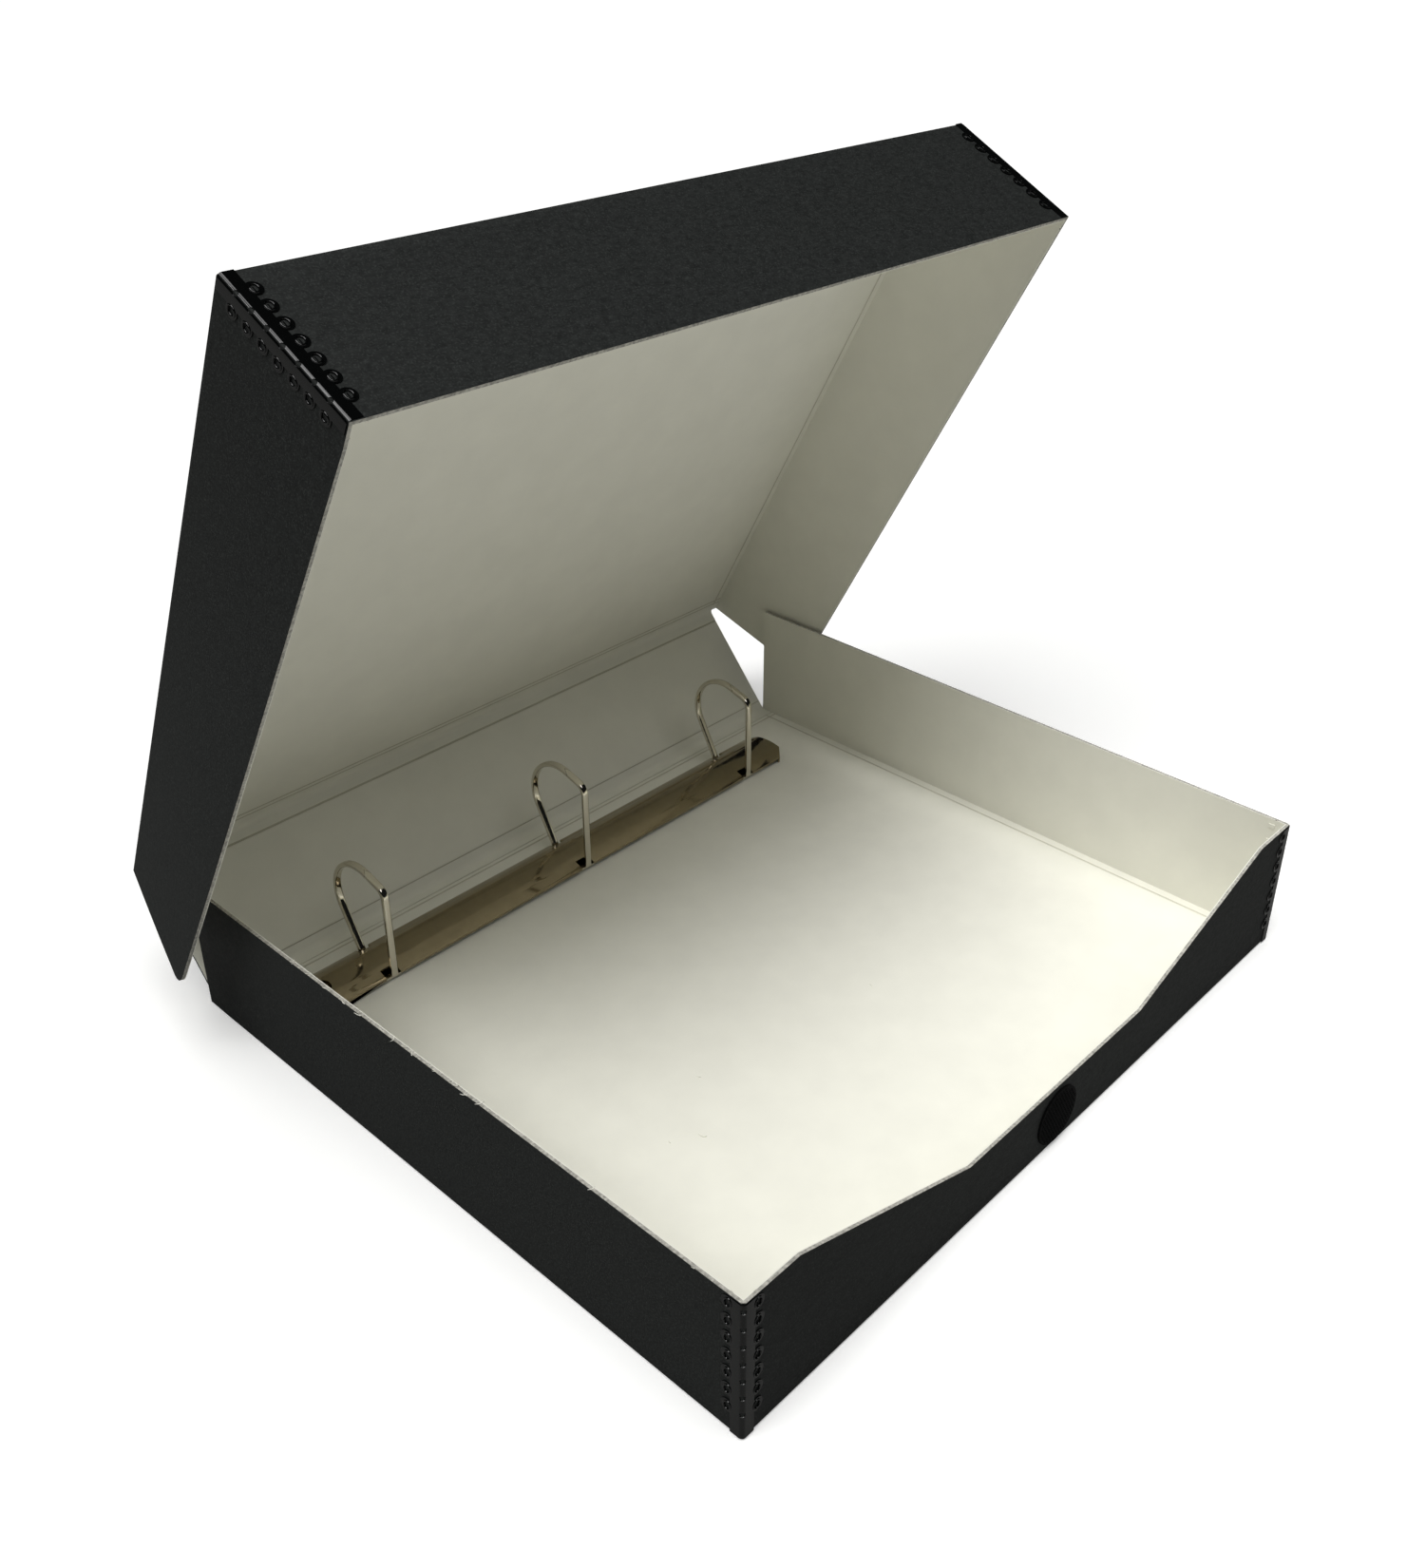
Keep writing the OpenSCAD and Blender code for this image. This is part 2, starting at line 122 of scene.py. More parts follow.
class ArchivalBoardSizes(bpy.types.PropertyGroup):
    """Folds, score lines and papers of the boards"""

    fold_radius: length("Fold radius", "Outer radius of the folded board", 1.1)
    score_width: length("Score width", "Width of a score line", 0.9)
    score_depth: length("Score depth", "Depth of a score line in the lining", 0.27)
    score_ridge: length(
        "Score ridge", "Height of the ridges the press raises beside a score line", 0.1,
    )
    fold_band: length("Fold band", "Distance of a score line from the foot of its wall", 4.5)
    crease_band: length("Crease band", "Distance of a score line from its crease", 5.5)
    score_pair: length("Score pair", "Distance between the two score lines beside a crease", 2.6)
    crease_paper: length("Crease paper", "Thickness of the paper over a crease", 0.12)
    fibre_length: length("Fibre length", "Length of a torn paper fibre", 3.2)
    fibre_thick: length("Fibre thickness", "Radius of a torn paper fibre at its root", 0.32)
    paper_lift: length("Paper lift", "Lift of the crease paper's middle above the lining", 0.03)


class ArchivalRingSizes(bpy.types.PropertyGroup):
    """The D ring's centre line and wire"""

    leg_reach: length("Leg reach", "Distance of each foot from the middle", 11)
    foot_z: length("Foot height", "Height of the feet, on the leaves", 3.2)
    round_shift: length("Round shift", "Set of the round part towards the spine", 5.6)
    round_height: length("Round height", "Height of the round part's middle above the floor", 29.5)
    round_radius: length("Round radius", "Radius of the round part on its centre line", 18)
    bend_height: length("Bend height", "Height of the bend above the floor", 43.5)
    bend_radius: length("Bend radius", "Radius of the bend on its centre line", 5)
    wire_width: length("Wire width", "Width of the wire along the spine", 3.4)
    wire_thick: length("Wire thickness", "Thickness of the wire in the ring's plane", 2.2)
    wire_round: length("Wire rounding", "Corner radius of the wire", 1.02)
    split_shift: length(
        "Split shift", "Distance of the zig-zag joint from the round part's middle", 5.6,
    )
    split_tip: length("Split tip", "Half the height of the zig-zag", 1.6)
    split_gap: length("Split gap", "Gap between the two halves", 0.3)



class ArchivalEdgeSizes(bpy.types.PropertyGroup):
    """The stamped metal edges"""

    strip_thick: length("Strip thickness", "Thickness of the steel strip", 0.35)
    reach: length("Reach", "Reach of the strip from the corner to its scallops", 8.6)
    scallop: length("Scallop radius", "Radius of a scallop", 2.7)
    scallop_root: length("Scallop root", "Height of the band above the scallops' roots", 1.6)
    pitch: length("Eye pitch", "Distance from one eye to the next", 7.4)
    tray_shift: length("Tray eye shift", "Set of the tray edges' eyes above the middle", 4)
    eye_count: bpy.props.IntProperty(
        name="Eyes", description="Eyes on each side of an edge", default=7, min=3, max=8,
    )
    ridge: length("Ridge radius", "Outer radius of the strip's ridge", 1.6)
    inset: length("End inset", "Distance of the strip's ends from the panel's", 0.5)
    dimple: length("Dimple radius", "Radius of the punch that dimples the ridge", 1.45)
    dimple_depth: length("Dimple depth", "Depth of a dimple in the ridge", 0.75)
    eye_width: length("Eye width", "Width of an eye's rolled rim", 3.3)
    eye_height: length("Eye height", "Height of an eye's rolled rim", 4.4)
    eye_rim: length("Eye rim", "Rise of an eye's rolled rim", 0.28)
    eye_slant: bpy.props.FloatProperty(
        name="Eye slant", description="Slant of the eyes", default=math.radians(14),
        subtype="ANGLE", unit="ROTATION",
    )
    prong_width: length("Prong width", "Width of a clinched prong", 1.8)
    prong_reach: length("Clinch", "Length of a clinched prong on the lining", 2.4)


class ArchivalMechanismSizes(bpy.types.PropertyGroup):
    """The pressed housing, its eyelet and the fastener dots"""

    length: length("Housing length", "Length of the housing", 279)
    shift: length("Housing shift", "Set of the housing towards the left end", 4)
    width: length("Housing width", "Width of the housing", 24.8)
    crown: length("Crown height", "Height of the crown above the floor", 5.7)
    skirt: length("Skirt height", "Height of the side skirts", 2.9)
    sheet: length("Sheet thickness", "Thickness of the pressed sheet steel", 0.7)
    chamfer: length("End chamfer", "Chamfer of the right end", 5)
    dish_radius: length("Dish radius", "Radius of the dish around the eyelet", 5.3)
    dish_height: length("Dish height", "Height of the dish's bottom above the floor", 1.7)
    rivet_inset: length("Rivet inset", "Distance of a rivet from the housing's end", 6.5)
    lip: length("Lip", "Height of the lip along the housing's long edges", 0.9)
    lip_over: length("Lip overhang", "How far the lip stands out over its shadow gap", 1.6)
    roll: length("Rolled edge", "Rounding of the housing's pressed edges", 0.3)
    dot_radius: length("Dot radius", "Radius of the hook and loop dots", 12)
    dot_thick: length("Dot thickness", "Thickness of one dot with its nap", 1.2)


# ---- Colour and node helpers ----


def shaded(colour, factor):
    """A linear colour made darker or lighter."""
    return (*(min(channel * factor, 1.0) for channel in colour[:3]), 1.0)


def add_node(tree, kind, settings=None, links=None):
    """Adds one shader node, sets its properties and sockets, and links sockets to it."""
    node = tree.nodes.new(kind)
    for name, value in (settings or {}).items():
        if isinstance(name, int) or name in node.inputs:
            node.inputs[name].default_value = value
        else:
            setattr(node, name, value)
    for name, source in (links or {}).items():
        tree.links.new(source, node.inputs[name])
    return node


def new_material(name):
    """An empty node material with its output, ready for a Principled shader."""
    material = bpy.data.materials.new(name)
    material.use_nodes = True
    material.node_tree.nodes.clear()
    return material, material.node_tree


def finish_material(tree, shader):
    output = add_node(tree, "ShaderNodeOutputMaterial")
    tree.links.new(shader.outputs[0], output.inputs["Surface"])


# Real sizes of the finishes' patterns. Board fibres are about 1 mm long and 0.03 mm wide, a
# fleck or a hook of the tape 0.2 mm: too fine to show, so they are drawn coarser.
BOARD_CLOUD = 2.4 * MM
FIBRE_RUN = 3.8 * MM
FIBRE_WIDTH = 1.1 * MM
FLECK = 0.67 * MM
PULP_CLOUD = 18 * MM
PAPER_GRAIN = 0.7 * MM
PULP_LAYER = 1.1 * MM
POLISH_HAZE = 4.5 * MM
ORANGE_PEEL = 1.4 * MM
TAPE_NAP = 0.67 * MM


def black_board():
    """Black-faced greyboard, dyed in the pulp and calendered: a satin sheet with a faint
    cloudy fibre grain, so light breaks up over it instead of mirroring."""
    colours = bpy.context.scene.archival_colours
    material, tree = new_material("calendered_black_archival_board")
    place = add_node(tree, "ShaderNodeTexCoord").outputs["Object"]
    cloud = add_node(
        tree, "ShaderNodeTexNoise", {"Scale": 1 / BOARD_CLOUD, "Detail": 5.0, "Roughness": 0.6},
        {"Vector": place},
    )
    fibre_place = add_node(
        tree, "ShaderNodeMapping", {"Scale": (1 / FIBRE_RUN, 1 / FIBRE_WIDTH, 1 / FIBRE_WIDTH)},
        {"Vector": place},
    )
    fibre = add_node(
        tree, "ShaderNodeTexNoise", {"Scale": 1.0, "Detail": 3.0, "Roughness": 0.7},
        {"Vector": fibre_place.outputs[0]},
    )
    mix = add_node(
        tree, "ShaderNodeMath", {"operation": "ADD"},
        {0: cloud.outputs["Fac"], 1: fibre.outputs["Fac"]},
    )
    tone = add_node(
        tree, "ShaderNodeValToRGB", {},
        {"Fac": add_node(
            tree, "ShaderNodeMath", {"operation": "MULTIPLY", 1: 0.5}, {0: mix.outputs[0]},
        ).outputs[0]},
    )
    tone.color_ramp.elements[0].position = 0.38
    tone.color_ramp.elements[0].color = shaded(colours.board, 0.7)
    tone.color_ramp.elements[1].position = 0.68
    tone.color_ramp.elements[1].color = shaded(colours.board, 1.4)
    speck = add_node(
        tree, "ShaderNodeTexNoise", {"Scale": 1 / FLECK, "Detail": 1.0}, {"Vector": place},
    )
    fleck = add_node(
        tree, "ShaderNodeMapRange",
        {"From Min": 0.54, "From Max": 0.68, "To Min": 0.0, "To Max": 0.6},
        {"Value": speck.outputs["Fac"]},
    )
    flecked = add_node(
        tree, "ShaderNodeMix", {"data_type": "RGBA", 7: colours.fleck},
        {"Factor": fleck.outputs[0], 6: tone.outputs["Color"]},
    )
    rough = add_node(
        tree, "ShaderNodeMapRange",
        {"From Min": 0.3, "From Max": 0.7, "To Min": 0.5, "To Max": 0.66},
        {"Value": cloud.outputs["Fac"]},
    )
    bump = add_node(
        tree, "ShaderNodeBump", {"Strength": 0.25, "Distance": 0.00012}, {"Height": mix.outputs[0]},
    )
    shader = add_node(
        tree,
        "ShaderNodeBsdfPrincipled",
        {"IOR": 1.45, "Specular IOR Level": 0.16},
        {
            "Base Color": flecked.outputs[2], "Roughness": rough.outputs[0],
            "Normal": bump.outputs[0],
        },
    )
    finish_material(tree, shader)
    return material


def lining_paper(name, colour, clouding):
    """Uncoated white lining paper, laminated: matt, slightly warm, with soft pulp clouding;
    made darker, it also serves as painted shade, laid where a score is pressed in."""
    material, tree = new_material(name)
    place = add_node(tree, "ShaderNodeTexCoord").outputs["Object"]
    cloud = add_node(
        tree, "ShaderNodeTexNoise", {"Scale": 1 / PULP_CLOUD, "Detail": 5.0, "Roughness": 0.55},
        {"Vector": place},
    )
    tone = add_node(tree, "ShaderNodeValToRGB", {}, {"Fac": cloud.outputs["Fac"]})
    tone.color_ramp.elements[0].position = 0.35
    tone.color_ramp.elements[0].color = shaded(colour, 1 - clouding)
    tone.color_ramp.elements[1].position = 0.7
    tone.color_ramp.elements[1].color = shaded(colour, 1 + clouding)
    grain = add_node(
        tree, "ShaderNodeTexNoise", {"Scale": 1 / PAPER_GRAIN, "Detail": 2.0}, {"Vector": place},
    )
    bump = add_node(
        tree, "ShaderNodeBump", {"Strength": 0.12, "Distance": 0.00005},
        {"Height": grain.outputs["Fac"]},
    )
    shader = add_node(
        tree,
        "ShaderNodeBsdfPrincipled",
        {"IOR": 1.45, "Roughness": 0.75, "Specular IOR Level": 0.25},
        {"Base Color": tone.outputs["Color"], "Normal": bump.outputs[0]},
    )
    finish_material(tree, shader)
    return material


def cut_board_edge():
    """The guillotined edge of lined board: pale pulp, layered and slightly furred."""
    colour = bpy.context.scene.archival_colours.cut_edge
    material, tree = new_material("guillotined_board_edge")
    place = add_node(tree, "ShaderNodeTexCoord").outputs["Object"]
    pulp = add_node(
        tree, "ShaderNodeTexNoise", {"Scale": 1 / PULP_LAYER, "Detail": 3.0}, {"Vector": place},
    )
    tone = add_node(tree, "ShaderNodeValToRGB", {}, {"Fac": pulp.outputs["Fac"]})
    tone.color_ramp.elements[0].position = 0.35
    tone.color_ramp.elements[0].color = shaded(colour, 0.7)
    tone.color_ramp.elements[1].position = 0.65
    tone.color_ramp.elements[1].color = shaded(colour, 1.35)
    bump = add_node(
        tree, "ShaderNodeBump", {"Strength": 0.5, "Distance": 0.0002},
        {"Height": pulp.outputs["Fac"]},
    )
    shader = add_node(
        tree, "ShaderNodeBsdfPrincipled", {"Roughness": 0.9, "Specular IOR Level": 0.2},
        {"Base Color": tone.outputs["Color"], "Normal": bump.outputs[0]},
    )
    finish_material(tree, shader)
    return material


def nickel_plate(name, colour, clouding, smooth, hazy):
    """Bright nickel plate on pressed steel: warm grey mirror with faint polishing haze."""
    material, tree = new_material(name)
    place = add_node(tree, "ShaderNodeTexCoord").outputs["Object"]
    haze = add_node(
        tree, "ShaderNodeTexNoise", {"Scale": 1 / POLISH_HAZE, "Detail": 4.0}, {"Vector": place},
    )
    rough = add_node(
        tree, "ShaderNodeMapRange",
        {"From Min": 0.3, "From Max": 0.7, "To Min": smooth, "To Max": hazy},
        {"Value": haze.outputs["Fac"]},
    )
    tone = add_node(
        tree, "ShaderNodeMix",
        {"data_type": "RGBA", 6: shaded(colour, 1 - clouding), 7: shaded(colour, 1 + clouding)},
        {"Factor": haze.outputs["Fac"]},
    )
    shader = add_node(
        tree,
        "ShaderNodeBsdfPrincipled",
        {"Metallic": 1.0},
        {"Base Color": tone.outputs[2], "Roughness": rough.outputs[0]},
    )
    finish_material(tree, shader)
    return material


def enamelled_steel():
    """Black stoving enamel on stamped steel strip: gloss with soft orange-peel ripples."""
    colour = bpy.context.scene.archival_colours.enamel
    material, tree = new_material("gloss_black_enamelled_steel")
    place = add_node(tree, "ShaderNodeTexCoord").outputs["Object"]
    peel = add_node(
        tree, "ShaderNodeTexNoise", {"Scale": 1 / ORANGE_PEEL, "Detail": 2.0}, {"Vector": place},
    )
    bump = add_node(
        tree, "ShaderNodeBump", {"Strength": 0.15, "Distance": 0.00005},
        {"Height": peel.outputs["Fac"]},
    )
    rough = add_node(
        tree, "ShaderNodeMapRange",
        {"From Min": 0.3, "From Max": 0.7, "To Min": 0.08, "To Max": 0.14},
        {"Value": peel.outputs["Fac"]},
    )
    shader = add_node(
        tree,
        "ShaderNodeBsdfPrincipled",
        {"Base Color": colour, "IOR": 1.5, "Specular IOR Level": 0.5},
        {"Normal": bump.outputs[0], "Roughness": rough.outputs[0]},
    )
    finish_material(tree, shader)
    return material


def hook_felt():
    """Woven nylon hook tape: dead black, with a nap that lightens at grazing angles."""
    colour = bpy.context.scene.archival_colours.felt
    material, tree = new_material("woven_nylon_hook_tape")
    place = add_node(tree, "ShaderNodeTexCoord").outputs["Object"]
    nap = add_node(
        tree, "ShaderNodeTexNoise", {"Scale": 1 / TAPE_NAP, "Detail": 2.0}, {"Vector": place},
    )
    tone = add_node(tree, "ShaderNodeValToRGB", {}, {"Fac": nap.outputs["Fac"]})
    tone.color_ramp.elements[0].color = shaded(colour, 0.4)
    tone.color_ramp.elements[1].color = shaded(colour, 1.6)
    bump = add_node(
        tree, "ShaderNodeBump", {"Strength": 0.6, "Distance": 0.0003},
        {"Height": nap.outputs["Fac"]},
    )
    shader = add_node(
        tree,
        "ShaderNodeBsdfPrincipled",
        {
            "Roughness": 0.95, "Sheen Weight": 0.02, "Sheen Roughness": 0.5,
            "Specular IOR Level": 0.05,
        },
        {"Base Color": tone.outputs["Color"], "Normal": bump.outputs[0]},
    )
    finish_material(tree, shader)
    return material


MATERIALS = {}

NODE_MATERIALS = {
    "base_board": "black", "spine_board": "black", "lid_board": "black",
    "base_lining": "white", "spine_lining": "white", "lid_lining": "white",
    "base_left_metal_edge": "enamel", "base_right_metal_edge": "enamel",
    "lid_left_metal_edge": "enamel", "lid_right_metal_edge": "enamel",
    "hook_dot": "felt", "loop_dot": "felt",
}


def give(obj, *materials):
    obj.data.materials.clear()
    for material in materials:
        obj.data.materials.append(material)


def make_active(obj):
    """Leaves edit mode, deselects everything and selects one piece."""
    if bpy.context.object and bpy.context.object.mode != "OBJECT":
        bpy.ops.object.mode_set(mode="OBJECT")
    bpy.ops.object.select_all(action="DESELECT")
    obj.select_set(True)
    bpy.context.view_layer.objects.active = obj


def select_in(obj, faces=None, edges=None, verts=None):
    """In edit mode, selects the faces, edges or vertices that pass a test, and nothing else."""
    mode = "FACE" if faces else "EDGE" if edges else "VERT"
    bpy.ops.mesh.select_mode(type=mode)
    bpy.ops.mesh.select_all(action="DESELECT")
    mesh = bmesh.from_edit_mesh(obj.data)
    test, items = (
        (faces, mesh.faces) if faces else (edges, mesh.edges) if edges else (verts, mesh.verts)
    )
    count = 0
    for item in items:
        if test(item):
            item.select_set(True)
            count += 1
    mesh.select_flush_mode()
    bmesh.update_edit_mesh(obj.data)
    return count


def edit(obj):
    make_active(obj)
    bpy.ops.object.mode_set(mode="EDIT")


def done(obj):
    bpy.ops.object.mode_set(mode="OBJECT")
    return obj


def apply_modifier(obj, kind, **settings):
    make_active(obj)
    modifier = obj.modifiers.new(kind.lower(), kind)
    for name, value in settings.items():
        setattr(modifier, name, value)
    bpy.ops.object.modifier_apply(modifier=modifier.name)


def settle(obj):
    """Puts a piece's place into its mesh, so that its object sits at the origin."""
    make_active(obj)
    bpy.ops.object.transform_apply(location=True, rotation=True, scale=True)
    return obj


def block(low, high):
    """A box between two corners, its object at the origin."""
    middle = [(a + b) / 2 for a, b in zip(low, high)]
    bpy.ops.mesh.primitive_cube_add(size=1, location=middle)
    piece = bpy.context.object
    piece.scale = [b - a for a, b in zip(low, high)]
    return settle(piece)


def drum(place, radius, depth, turn=(0, 0, 0), scale=(1, 1, 1), vertices=32):
    """A cylinder about a place, turned and squashed, its object at the origin."""
    bpy.ops.mesh.primitive_cylinder_add(
        vertices=vertices, radius=radius, depth=depth, location=place, rotation=turn,
    )
    piece = bpy.context.object
    piece.scale = scale
    return settle(piece)


def ball(place, radius, scale):
    """A squashed ball about a place, its object at the origin."""
    bpy.ops.mesh.primitive_uv_sphere_add(segments=24, ring_count=12, radius=radius, location=place)
    piece = bpy.context.object
    piece.scale = scale
    return settle(piece)


def prism(outline, low, high):
    """A flat outline of (x, y) points, extruded upwards from low to high."""
    bpy.ops.mesh.primitive_circle_add(vertices=len(outline), radius=MM, fill_type="NGON")
    piece = bpy.context.object
    edit(piece)
    mesh = bmesh.from_edit_mesh(piece.data)
    mesh.verts.ensure_lookup_table()
    for vert, (x, y) in zip(mesh.verts, outline):
        vert.co = Vector((x, y, low))
    bmesh.update_edit_mesh(piece.data)
    bpy.ops.mesh.select_all(action="SELECT")
    bpy.ops.mesh.extrude_region_move(TRANSFORM_OT_translate={"value": (0, 0, high - low)})
    bpy.ops.mesh.select_all(action="SELECT")
    bpy.ops.mesh.normals_make_consistent(inside=False)
    return done(piece)


def joined(pieces):
    """Several pieces joined into the first."""
    make_active(pieces[0])
    for piece in pieces:
        piece.select_set(True)
    bpy.ops.object.join()
    return bpy.context.object


def combine(piece, tool, operation):
    """A boolean of two pieces; the tool is used up."""
    make_active(piece)
    modifier = piece.modifiers.new("combine", "BOOLEAN")
    modifier.operation = operation
    modifier.object = tool
    modifier.solver = "EXACT"
    bpy.ops.object.modifier_apply(modifier=modifier.name)
    bpy.data.objects.remove(tool)
    return piece


def fresh(name, data):
    """A new object in the scene, with its own copy of a mesh."""
    piece = bpy.data.objects.new(name, data.copy())
    bpy.context.scene.collection.objects.link(piece)
    return piece


def span(points):
    """The low and high corners of the box round some points."""
    return [Vector([pick(p[i] for p in points) for i in range(3)]) for pick in (min, max)]


def smooth(piece, degrees):
    """Smooth shading, with edges sharper than an angle kept crisp."""
    make_active(piece)
    bpy.ops.object.shade_smooth_by_angle(angle=math.radians(degrees))


def closed_up(merge=None):
    """In edit mode, merges doubled points if asked, and turns every face outward."""
    if merge:
        bpy.ops.mesh.select_all(action="SELECT")
        bpy.ops.mesh.remove_doubles(threshold=merge)
    bpy.ops.mesh.select_all(action="SELECT")
    bpy.ops.mesh.normals_make_consistent(inside=False)


def place_copy(source, name, matrix):
    """A copy with its own mesh, its place put into the mesh, its faces outward."""
    piece = fresh(name, source.data)
    piece.matrix_world = matrix
    settle(piece)
    if matrix.determinant() < 0:
        edit(piece)
        closed_up()
        done(piece)
    return piece


def arc_points(middle, radius, start, end, steps):
    """Points on an arc, its ends included."""
    return [
        (
            middle[0] + radius * math.cos(start + (end - start) * i / steps),
            middle[1] + radius * math.sin(start + (end - start) * i / steps),
        )
        for i in range(steps + 1)
    ]


def merged_copy(node, name):
    """A copy of a CAD node's mesh with its doubles merged and its flat faces whole again."""
    piece = fresh(name, frame["nodes"][node].data)
    edit(piece)
    bpy.ops.mesh.select_all(action="SELECT")
    bpy.ops.mesh.remove_doubles(threshold=MERGE)
    bpy.ops.mesh.select_all(action="SELECT")
    bpy.ops.mesh.dissolve_limited(angle_limit=math.radians(0.8))
    return done(piece)


def body_place(body):
    """The matrix from the shut pose, drawn from the crease, to a panel's place at rest."""
    joint = JOINTS[CREASE_OF[body]]
    turn = -lean(body)
    return Matrix.Translation(joint["pos_m"]) @ Matrix.Rotation(turn, 4, "X")


def lean(body):
    """How far the spine leans back, or the lid is raised, at rest, in radians."""
    own = -math.radians(JOINTS[CREASE_OF[body]]["range_deg"][0])
    return own if body == "spine" else own + lean("spine")


# ---- Boards and linings ----

def to_shut(body):
    """The matrix from a panel's place at rest to where it is drawn shut, from its crease."""
    return Matrix.Identity(4) if body == "base" else body_place(body).inverted()


def finish_piece(piece, body, slot, *nodes):
    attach(piece, body)
    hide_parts(*nodes)


def board_panel(body):
    """A board copied from the CAD node, its folds rounded and its cut edges bared."""
    size = bpy.context.scene.archival_board
    piece = merged_copy(body + "_board", PREFIX[body] + "_black_board")
    shut = to_shut(body)
    low, high = span([shut @ v.co for v in piece.data.vertices])
    near = 0.05 * MM
    give(piece, MATERIALS["black"], MATERIALS["cut_edge"])
    turn = shut.to_3x3()
    outer = high.z if body == "lid" else low.z

    def is_cut(face):
        normal = turn @ face.normal
        if body == "base":
            return normal.z > 0.3 and face.calc_center_median().z > 10 * MM or normal.y > 0.7
        if body == "lid":
            return normal.z < -0.7 or normal.y > 0.9
        return False

    def is_fold(edge):
        a, b = (shut @ v.co for v in edge.verts)
        on_front = [abs(v.y - low.y) < near for v in (a, b)]
        on_outer = [abs(v.z - outer) < near for v in (a, b)]
        on_side = [abs(abs(v.x) - high.x) < near for v in (a, b)]
        if body == "lid":
            on_side = [abs(abs(v.x) - LID_HALF) < near for v in (a, b)]
        return all(on_front) and all(on_outer) or all(on_side) and (all(on_outer) or all(on_front))

    edit(piece)
    select_in(piece, faces=is_cut)
    piece.active_material_index = 1
    bpy.ops.object.material_slot_assign()
    if body != "spine":
        select_in(piece, edges=is_fold)
        bpy.ops.mesh.bevel(offset=size.fold_radius, segments=5, affect="EDGES", clamp_overlap=False)
    done(piece)
    smooth(piece, 35)
    finish_piece(piece, body, "black_board", body + "_board")
    return piece


class ARCHIVAL_OT_boards(bpy.types.Operator):
    """Makes the three black boards, with rounded folds and pale cut edges"""

    bl_idname = "archival.boards"
    bl_label = "Boards"

    def execute(self, context):
        for body in ("base", "spine", "lid"):
            board_panel(body)
        return {"FINISHED"}


def score(piece, shut, on_face, across, place, axis):
    """Presses one score line into a lining: two cuts and a middle line, pushed into the sheet.

    on_face picks the faces it crosses, across is the shut frame's axis it is measured along,
    place its position there and axis the direction the line is pressed in.
    """
    size = bpy.context.scene.archival_board
    back = shut.inverted()
    turn = back.to_3x3()
    half = size.score_width / 2
    step = Vector([1.0 if i == across else 0.0 for i in range(3)])
    bottom = half / 4
    for shift in (-2.5 * half, -half, -bottom, bottom, half, 2.5 * half):
        select_in(piece, faces=on_face)
        bpy.ops.mesh.bisect(plane_co=back @ (step * (place + shift)), plane_no=turn @ step)
    near = 0.02 * MM
    presses = (
        (-half, -size.score_ridge), (-bottom, size.score_depth), (bottom, size.score_depth),
        (half, -size.score_ridge),
    )
    for shift, press in presses:

        def on_line(vert, shift=shift):
            return abs((shut @ vert.co)[across] - place - shift) < near and any(
                on_face(f) for f in vert.link_faces
            )

        if not select_in(piece, verts=on_line):
            raise RuntimeError(piece.name + ": no points on a score line")
        bpy.ops.transform.translate(value=turn @ (axis * press))

    def groove_for_painted_shade(face):
        off_line = abs((shut @ face.calc_center_median())[across] - place)
        return off_line < half and (turn.inverted() @ face.normal).dot(-axis) > 0.5

    # Painted shade: the groove's faces get the darker score paper, standing in for the shade inside
    # the groove.
    select_in(piece, faces=groove_for_painted_shade)
    piece.active_material_index = 1
    bpy.ops.object.material_slot_assign()


class ARCHIVAL_OT_linings(bpy.types.Operator):
    """Makes the white linings, with their score lines beside each fold"""

    bl_idname = "archival.linings"
    bl_label = "Linings"

    def execute(self, context):
        size = context.scene.archival_board
        for body, prefix in PREFIX.items():
            piece = merged_copy(body + "_lining", prefix + "_white_lining")
            # The second material is the darker score paper: painted shade for the score grooves.
            give(piece, MATERIALS["white"], MATERIALS["pressed"])
            shut = to_shut(body)
            local = [shut @ v.co for v in piece.data.vertices]
            turn = shut.to_3x3()
            half = (LID_HALF if body == "lid" else max(v.x for v in local) + BOARD_T) - WALL_T
            front = min(v.y for v in local)
            inward = Vector((0, 0, -1)) if body == "base" else Vector((0, 0, 1))
            if body == "spine":
                inward = Vector((0, 1, 0))

            def on_sheet(face, turn=turn, inward=inward):
                return (turn @ face.normal).dot(-inward) > 0.9

            edit(piece)
            if body == "spine":
                top = max(v.z for v in local)
                for place in (size.crease_band, top - size.crease_band):
                    score(piece, shut, on_sheet, 2, place, inward)
            else:
                for place in (size.fold_band - half, half - size.fold_band):
                    score(piece, shut, on_sheet, 0, place, inward)
                rear = max(v.y for v in local if abs(v.x) < half) if body == "lid" else CREASE_Y
                score(piece, shut, on_sheet, 1, rear - size.crease_band, inward)
                score(piece, shut, on_sheet, 1, rear - size.crease_band - size.score_pair, inward)
                score(piece, shut, on_sheet, 1, front + size.fold_band, inward)
            done(piece)
            smooth(piece, 20)
            finish_piece(piece, body, "white_lining", body + "_lining")
        return {"FINISHED"}


CREASE_STEPS = (1.0, 0.8, 0.6, 0.45, 0.33)  # shares of the crease band, towards the crease


